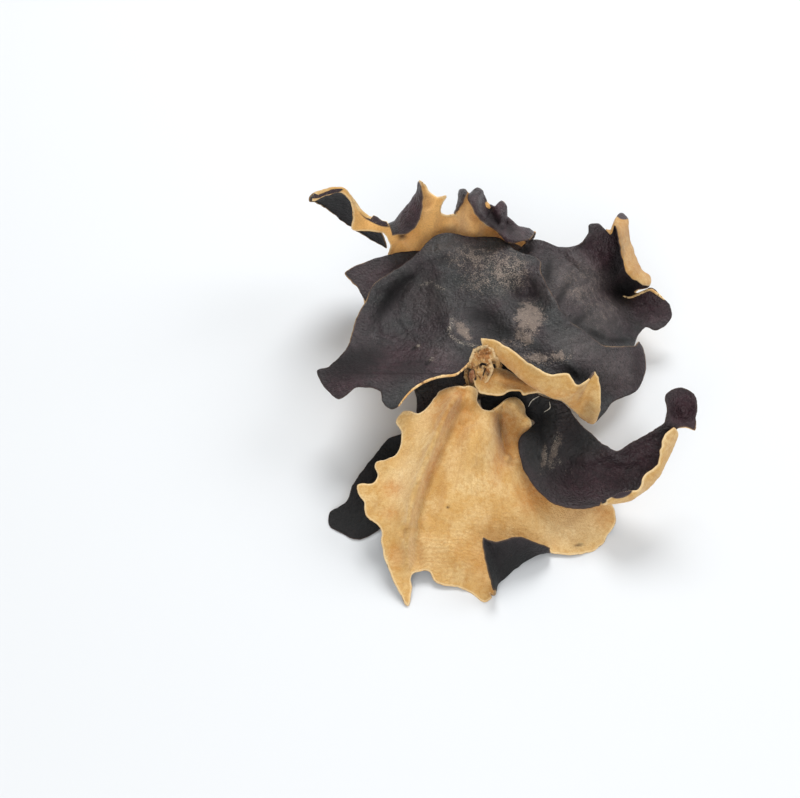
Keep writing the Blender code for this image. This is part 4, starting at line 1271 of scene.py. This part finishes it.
def pale_flesh(name, sizes, bruises_from, bruised, strength, depth, margin=False):
    """Cream flesh with bruised spots. A margin shows it only where its cream mark says so."""
    made, tree, shader, places = new_material(name)
    clouds, spots, fine, pebbles = mottling(tree, places, *sizes)
    bruises = spread(tree, spots, bruises_from, 1.0, 0.0, bruised)
    colour = layered(
        tree, tint(EDGE["cream"]), (clouds, EDGE["straw"]), (bruises, EDGE["bruise"])
    )
    if margin:
        colour = layered(tree, tint(EDGE["brown"]), (mark(tree, "cream"), colour))
    fill(shader, {
        "Base Color": colour,
        "Roughness": 0.8,
        "Normal": relief(tree, strength, depth, (fine, 1), (pebbles, 1)),
    })
    return made


edge = pale_flesh("cut_edge", (7.0, 1.2, 0.3, 0.5), 0.75, 0.7, 0.4, 0.0001, margin=True)
print("cut edge nodes:", len(edge.node_tree.nodes))

# %% [markdown]
# ## Dressing the ears
# Each sheet takes the place of its solid. The first finish is the upper skin: dark on four of the
# ears, and felt on the three that lie with their underside to the eye.

# %% Dress
dress(great_ear, "great_ear", (dark, felt, edge))
dress(rear_ear, "rear_ear", (dark, felt, edge))
dress(side_ear, "side_ear", (dark, felt, edge))
dress(under_ear, "under_ear", (dark, felt, edge))
dress(frill_ear, "frill_ear", (felt, dark, edge))
dress(front_ear, "front_ear", (felt, dark, edge))
dress(collar_ear, "collar_ear", (felt, dark, edge))
print("great ear finishes:", [material.name for material in great_ear.data.materials])

# %% [markdown]
# ## The knot
# All the ears leave one torn lump: wrinkled tan flesh with a cream ridge round its top, a slot
# pressed in under the ridge and painted nearly black as shade, and the ringed scar where it was cut
# from the wood. A sphere with many faces is narrowed downwards and pushed in and out. The features
# lie on the side that the eye sees, so their places are given in the view.

# %% The knot's mesh
KNOT_HALF = (5.8, 6.4, 10.8)
KNOT_CENTRE = seen((27.8, 9.2, 27)) / MM
KNOT_TAPER = -0.08
KNOT_CUTS = 7
KNOT_LUMPS = ((2.4, 0.6), (1.0, 0.42), (0.45, 0.2))
FLUTES = 5
FLUTE_TWIST = 2.5
FLUTE_DEPTH = 0.35
FLUTE_WANDER = (5.0, 2.4)
KNOT_RIDGES = [
    ([(22.4, 10.4), (23.7, 12.2), (25, 15.5), (26.7, 16.5), (29.2, 17.2), (30.7, 16.1),
      (31.3, 13.8), (32.9, 12.8)], 1.1, 0.5),
    ([(29.5, 13.6), (30.9, 10.2), (29, 6.4), (25.8, 3.8)], 0.8, 0.6),
    ([(27.3, 11.4), (28, 8.6), (26.6, 6)], 0.6, 0.5),
]
# the slots are pressed in, and the finish paints them nearly black as shade
KNOT_SLOTS = [
    ([(26.4, 11.1), (27.4, 11.8), (28.9, 11.4)], -1.5, 0.4),
    ([(31.6, 12), (32.2, 8.5), (30.5, 5)], -1.3, 0.7),
    ([(28.6, 10.6), (27.6, 7.6)], -0.8, 0.4),
]
SCAR = (23.7, 7.4)
SCAR_HALF = (1.5, 2.7)
SCAR_RINGS = ((1.0, 0.22, 0.5), (0, 0.75, -0.9), (0.35, 0.15, 0.4))
SCAR_WANDER = (1.3, 0.3)
SCAR_FADE = 3
FACING_DEPTH = 2 * MM


def knot_piece():
    mesh = bpy.data.meshes.new("knot")
    cells = bmesh.new()
    bmesh.ops.create_icosphere(cells, subdivisions=KNOT_CUTS, radius=1)
    cells.to_mesh(mesh)
    cells.free()
    unit = np.empty(len(mesh.vertices) * 3)
    mesh.vertices.foreach_get("co", unit)
    unit = unit.reshape(-1, 3)
    points = unit * KNOT_HALF
    points[:, :2] *= (1 + KNOT_TAPER * unit[:, 2])[:, None]
    wander = grain(points, FLUTE_WANDER[0], 80) * FLUTE_WANDER[1]
    bearing = np.arctan2(unit[:, 1], unit[:, 0])
    flutes = np.sin(bearing * FLUTES + unit[:, 2] * FLUTE_TWIST + wander) * FLUTE_DEPTH
    lumps = enumerate(KNOT_LUMPS)
    rough = sum(grain(points, size, 81 + step) * rise for step, (size, rise) in lumps)
    points += unit * (flutes + rough)[:, None] + KNOT_CENTRE
    places, depth = in_view(points)
    facing = np.clip((np.median(depth) - depth) / FACING_DEPTH, 0, 1)
    pale = fold_rise(places, KNOT_RIDGES) * facing
    deep = fold_rise(places, KNOT_SLOTS) * facing
    rings = np.linalg.norm((places - SCAR) / SCAR_HALF, axis=1) + SCAR_FADE * (1 - facing)
    rings += grain(points, SCAR_WANDER[0], 84) * SCAR_WANDER[1]
    scar = sum(high * np.exp(-(((rings - at) / width) ** 2)) for at, width, high in SCAR_RINGS)
    points += unit * (pale + deep + scar)[:, None]
    mesh.vertices.foreach_set("co", (points * MM).ravel())
    # rough and deep also drive painted light on the lumps and painted shade in the hollows and
    # slots, and up drives the painted shade below
    carry(mesh, {"pale": pale, "deep": -deep, "rings": rings, "up": places[:, 1], "rough": rough})
    mesh.shade_smooth()
    return placed("knot", mesh)


knot = knot_piece()
print("knot vertices", len(knot.data.vertices))

# %% [markdown]
# ## The knot's finish
# It is flesh and bark mixed: golden flesh, cream along the ridges, rust clouds, and a dark ring
# round the pinkish scar. Painted light makes the raised lumps paler, painted shade makes the
# hollows umber and the slots nearly black, and painted deep shade darkens it below.

# %% The knot's finish
BARK = {
    "flesh": "D0A366",
    "rust": "A0642F",
    "umber": "4A2E1B",
    "dark": "1E120C",
    "pale": "EBD0A0",
    "scar": "B98260",
}


def knot_finish():
    made, tree, shader, places = new_material("torn_knot")
    clouds, spots, fine, pebbles = mottling(tree, places, 3.2, 1.0, 0.3, 0.6)
    rings = mark(tree, "rings")
    rough = mark(tree, "rough")
    outer = times(tree, spread(tree, rings, 0.62, 0.85), spread(tree, rings, 1.25, 1.0))
    inner = times(tree, spread(tree, rings, 0.2, 0.3), spread(tree, rings, 0.5, 0.4))
    colour = layered(
        tree,
        tint(BARK["flesh"]),
        (spread(tree, clouds, 0.35, 1.0, 0.0, 0.8), BARK["rust"]),
        (spread(tree, times(tree, spots, fine), 0.45, 0.75), BARK["pale"]),
        # painted shade: umber in the hollows between the lumps
        (spread(tree, rough, -0.05, -0.5, 0.0, 0.75), BARK["umber"]),
        # painted light: pale cream on the raised lumps
        (spread(tree, rough, 0.15, 0.5, 0.0, 0.8), BARK["pale"]),
        (spread(tree, mark(tree, "pale"), 0.35, 0.9, 0.0, 0.8), BARK["pale"]),
        # painted shade: the slots nearly black
        (spread(tree, mark(tree, "deep"), 0.25, 0.8), BARK["dark"]),
        (spread(tree, rings, 0.85, 0.6), BARK["scar"]),
        (times(tree, outer, spread(tree, spots, 0.2, 0.7, 0.7, 1.0)), BARK["dark"]),
        (times(tree, inner, 0.7), BARK["rust"]),
        # painted shade: dark towards the bottom
        (spread(tree, mark(tree, "up"), 3.5, 1.0, 0.0, 0.95), BARK["dark"]),
    )
    fill(shader, {
        "Base Color": colour,
        "Roughness": 0.85,
        "Normal": relief(tree, 0.8, 0.0004, (spots, 1), (fine, 0.6), (pebbles, 0.5)),
    })
    return made


knot.data.materials.append(knot_finish())
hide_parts("base_knot")
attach(knot, "root")
print("knot finish:", knot.data.materials[0].name)

# %% [markdown]
# ## Laying a strand on an ear
# Threads and thick rims are thin tubes. Their lines are given in the view and laid onto the ear
# that the eye sees there: a sight ray through each point of the line is followed to the sheet.

# %% Laid strands
STRAND_SIDES = 8
STRAND_STEP = 0.25
STRAND_TIP = 0.35
STRAND_LUMPS = (1.3, 0.25)


def laid(ear, line, lift):
    """World points of a view line where the sight rays meet an ear, lifted towards the eye."""
    corners = [vertex.co for vertex in ear.data.vertices]
    skin = BVHTree.FromPolygons(corners, [face.vertices for face in ear.data.polygons])
    line = np.array(line, dtype=float)
    count = int(np.linalg.norm(np.diff(line, axis=0), axis=1).sum() / STRAND_STEP)
    eye = Vector(EYE)
    points = []
    for across, up in along(line, np.linspace(0, len(line) - 1, count)).tolist():
        ray = (Vector(seen((across, up, 0))) - eye).normalized()
        place = skin.ray_cast(eye, ray)[0]
        if place is not None:
            points.append(place - ray * lift * MM)
    return points


def tube_rings(points, width):
    """Rings of places round a line of world points, narrower at the line's ends."""
    rings = []
    for index, point in enumerate(points):
        run = points[min(index + 1, len(points) - 1)] - points[max(index - 1, 0)]
        run.normalize()
        side = run.cross(Vector((0, 0, 1))).normalized()
        rise = side.cross(run)
        swell = math.sin(math.pi * index / (len(points) - 1)) ** 0.5
        half = width * MM / 2 * (STRAND_TIP + (1 - STRAND_TIP) * swell)
        half *= 1 + STRAND_LUMPS[1] * noise.noise(point / MM / STRAND_LUMPS[0])
        ring = []
        for step in range(STRAND_SIDES):
            turn = 2 * math.pi * step / STRAND_SIDES
            ring.append(point + (side * math.cos(turn) + rise * math.sin(turn)) * half)
        rings.append(ring)
    return rings


def strand(name, ear, lines, width, lift, finish):
    """Closed tubes along lines laid on an ear."""
    cells = bmesh.new()
    for line in lines:
        rings = tube_rings(laid(ear, line, lift), width)
        rings = [[cells.verts.new(place) for place in ring] for ring in rings]
        for low, high in zip(rings, rings[1:]):
            for step in range(STRAND_SIDES):
                after = (step + 1) % STRAND_SIDES
                cells.faces.new((low[step], low[after], high[after], high[step]))
        cells.faces.new(rings[0][::-1])
        cells.faces.new(rings[-1])
    bmesh.ops.recalc_face_normals(cells, faces=cells.faces)
    mesh = bpy.data.meshes.new(name)
    cells.to_mesh(mesh)
    cells.free()
    mesh.shade_smooth()
    mesh.materials.append(finish)
    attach(placed(name, mesh), "root")
    print(name, "faces", len(mesh.polygons))


print("strand sides:", STRAND_SIDES, "step, mm:", STRAND_STEP)

# %% [markdown]
# ## Threads and thick rims
# Two pale threads lie on the side ear. The great ear's front margin is a thick cream bead where it
# runs up onto the knot, and the lobe of the rear ear has a turned cream rim.

# %% Threads, the front bead and the lobe's rim
THREADS = [
    [(42.8, -2.6), (44, -0.5), (46.5, 1)],
    [(49.8, -0.8), (50, -2.9), (48, -4.4)],
]
FRONT_BEAD = [
    (-0.6, -2.6), (1.7, 0.5), (4.3, 3.2), (8.7, 5.9), (13.7, 7.5), (18.5, 8.1), (21.3, 10.2),
    (23.2, 12.4),
]
LOBE_RIM = [(74.3, 34.3), (76.7, 33.8), (80, 35.2), (83.3, 36.4), (85.8, 35), (88.2, 33)]


def speckled(name, first, second, sizes, rough):
    """A matt finish of two tints that meet in spots."""
    made, tree, shader, places = new_material(name)
    _, spots, _, _ = mottling(tree, places, *sizes)
    fill(shader, {"Base Color": layered(tree, tint(first), (spots, second)), "Roughness": rough})
    return made


thread = speckled("pale_thread", "D8D2C4", "A9A294", (3.0, 0.8, 0.3, 0.7), 0.7)
bead = pale_flesh("cream_bead", (4.0, 0.9, 0.3, 0.6), 0.6, 0.8, 0.5, 0.00012)
strand("side_threads", side_ear, THREADS, width=0.28, lift=0.3, finish=thread)
strand("front_bead", great_ear, [FRONT_BEAD], width=0.85, lift=0.1, finish=bead)
strand("lobe_rim", rear_ear, [LOBE_RIM], width=1.0, lift=0.2, finish=bead)

# %% [markdown]
# ## Strewing small bits over a skin
# Geometry Nodes strews what repeats: points on the skin with the asked material, a thin cone at
# each point, turned at random from a fixed seed, and leaned over. A named attribute makes them
# dense in some places and leaves others bare.

# %% The strewing group
BIT_SIDES = 3
BIT_SIZES = (0.5, 1.2)


def strewing_group():
    inputs = {
        "Geometry": "Geometry",
        "Skin": "Int",
        "Mask": "String",
        "Density": "Float",
        "Length": "Float",
        "Width": "Float",
        "Lean": "Float",
        "Seed": "Int",
        "Finish": "Material",
    }
    outputs = {"Geometry": "Geometry"}
    group, entry, leave = new_group("strewn_bits", "GeometryNodeTree", inputs, outputs)

    def drawn(low, high):
        limits = {2: low, 3: high, "Seed": entry["Seed"]}
        return put(group, "FunctionNodeRandomValue", limits, data_type="FLOAT").outputs[1]

    def rotated(bits, angles):
        rotation = put(group, "ShaderNodeCombineXYZ", angles).outputs[0]
        inputs = {"Instances": bits, "Rotation": rotation}
        return put(group, "GeometryNodeRotateInstances", inputs).outputs[0]

    skins = {2: put(group, "GeometryNodeInputMaterialIndex").outputs[0], 3: entry["Skin"]}
    chosen = put(group, "FunctionNodeCompare", skins, data_type="INT", operation="EQUAL")
    mask = put(group, "GeometryNodeInputNamedAttribute", {0: entry["Mask"]}, data_type="FLOAT")
    points = put(group, "GeometryNodeDistributePointsOnFaces", {
        "Mesh": entry["Geometry"],
        "Selection": chosen.outputs[0],
        "Density": times(group, mask.outputs[0], entry["Density"]),
        "Seed": entry["Seed"],
    })
    cone = {"Vertices": BIT_SIDES, "Radius Bottom": entry["Width"], "Depth": entry["Length"]}
    bits = put(group, "GeometryNodeInstanceOnPoints", {
        "Points": points.outputs["Points"],
        "Instance": put(group, "GeometryNodeMeshCone", cone, fill_type="NONE").outputs["Mesh"],
        "Rotation": points.outputs["Rotation"],
        "Scale": drawn(*BIT_SIZES),
    }).outputs[0]
    bits = rotated(bits, {2: drawn(-math.pi, math.pi)})
    bits = rotated(bits, {0: entry["Lean"]})
    bits = put(group, "GeometryNodeRealizeInstances", {0: bits}).outputs[0]
    finished = {"Geometry": bits, "Material": entry["Finish"]}
    bits = put(group, "GeometryNodeSetMaterial", finished).outputs[0]
    group.links.new(bits, leave["Geometry"])
    return group


STREWING = strewing_group()


def strewn(name, ear, slot, **inputs):
    """A piece of its own with the bits that the group strews over an ear."""
    carrier = placed(name + "_carrier", ear.data)
    modifier = carrier.modifiers.new("Strewn", "NODES")
    modifier.node_group = STREWING
    for item in STREWING.interface.items_tree:
        if item.in_out == "INPUT" and item.name in inputs:
            modifier[item.identifier] = inputs[item.name]
    deps = bpy.context.evaluated_depsgraph_get()
    mesh = bpy.data.meshes.new_from_object(carrier.evaluated_get(deps))
    bpy.data.objects.remove(carrier)
    mesh.name = name
    piece = placed(name, mesh)
    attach(piece, "root")
    print(name, "triangles", sum(len(face.vertices) - 2 for face in mesh.polygons))


print("strewing inputs:", [item.name for item in STREWING.interface.items_tree])

# %% [markdown]
# ## Short hairs and pale crumbs
# Felt is made of hairs, and seen close they break the outline of every tan margin. They are long
# thin cones that lean far over. The pale crumbs on the dusty parts of the dark skins come from the
# same group, with squat cones.

# %% Hairs and crumbs
BIT_SPOTS = (5.0, 0.8, 0.3, 0.7)
FELT_HAIRS = {
    "Skin": 0,
    "Mask": "cream",
    "Density": 2.2e6,
    "Length": 0.00045,
    "Width": 0.000022,
    "Lean": 1.15,
    "Finish": speckled("felt_hairs", "E6C693", "B98E55", BIT_SPOTS, 0.9),
}
DUST = {
    "Skin": 0,
    "Mask": "bloom_and_painted_light",
    "Density": 1.1e6,
    "Length": 0.00007,
    "Width": 0.00007,
    "Lean": 0.3,
    "Finish": speckled("pale_crumbs", "B9A999", DARK["bloom_and_painted_light"], BIT_SPOTS, 0.9),
}
strewn("front_hairs", front_ear, "tan_felt", Seed=1, **FELT_HAIRS)
strewn("frill_hairs", frill_ear, "tan_felt", Seed=2, **FELT_HAIRS)
strewn("collar_hairs", collar_ear, "tan_felt", Seed=3, **FELT_HAIRS)
strewn("great_crumbs", great_ear, "dark_face", Seed=4, **DUST)
strewn("rear_crumbs", rear_ear, "dark_face", Seed=5, **DUST)
strewn("side_crumbs", side_ear, "dark_face", Seed=6, **DUST)

# %% [markdown]
# ## The studio
# The clump lies on a plain pale table in bright, soft light. The strongest lamp stands behind, so
# that the dark skins shine a little towards the eye and the faint shadows fall in front. A lamp at
# the right and a wide one in front lighten the shadows.

# %% Floor and light
FLOOR_HALF = 3.0
LAMP_AIM = Vector((0, 0, 0.02))
LAMPS = {
    "key": ((0.0, 0.62, 0.85), 0.50, 7.4),
    "right": ((0.75, 0.25, 0.60), 0.60, 3.2),
    "front": ((-0.15, -0.90, 0.55), 0.80, 6.0),
}
WORLD_POWER = 0.54


def floor():
    mesh = bpy.data.meshes.new("floor")
    corners = [(-1, -1), (1, -1), (1, 1), (-1, 1)]
    places = [(x * FLOOR_HALF, y * FLOOR_HALF, 0) for x, y in corners]
    mesh.from_pydata(places, [], [(0, 1, 2, 3)])
    made, _, shader, _ = new_material("pale_table")
    fill(shader, {"Base Color": tint("D6D9DC"), "Roughness": 0.6, "Specular IOR Level": 0.2})
    mesh.materials.append(made)
    placed("floor", mesh)


def lamp(name, place, size, power):
    """A round soft light aimed at the clump."""
    light = bpy.data.lights.new(name, "AREA")
    light.shape = "DISK"
    light.size = size
    light.energy = power
    made = placed(name, light)
    made.location = place
    made.rotation_euler = (LAMP_AIM - Vector(place)).to_track_quat("-Z", "Y").to_euler()


floor()
for name, (place, size, power) in LAMPS.items():
    lamp(name, place, size, power)
world = bpy.data.worlds.new("studio")
world.use_nodes = True
fill(world.node_tree.nodes["Background"], {"Color": tint("FAF9F7"), "Strength": WORLD_POWER})
bpy.context.scene.world = world
bpy.context.scene.view_settings.view_transform = "Standard"
print("lamps, W:", {name: power for name, (_, _, power) in LAMPS.items()})

# %% [markdown]
# ## The camera
# It stands at the eye that the ears were drawn from, so the render shows the clump as drawn. The
# lens takes in a fixed width at the eye's target.

# %% The camera
SENSOR = 36.0
VIEW_WIDTH = 0.266667

lens = bpy.data.cameras.new("camera")
lens.sensor_width = SENSOR
lens.lens = SENSOR * EYE_DISTANCE / VIEW_WIDTH
lens.clip_start = 0.01
camera = placed("camera", lens)
camera.location = Vector(EYE)
camera.rotation_euler = (math.radians(90) - EYE_RISE, 0, 0)
bpy.context.scene.camera = camera
print("lens, mm:", round(lens.lens, 1))
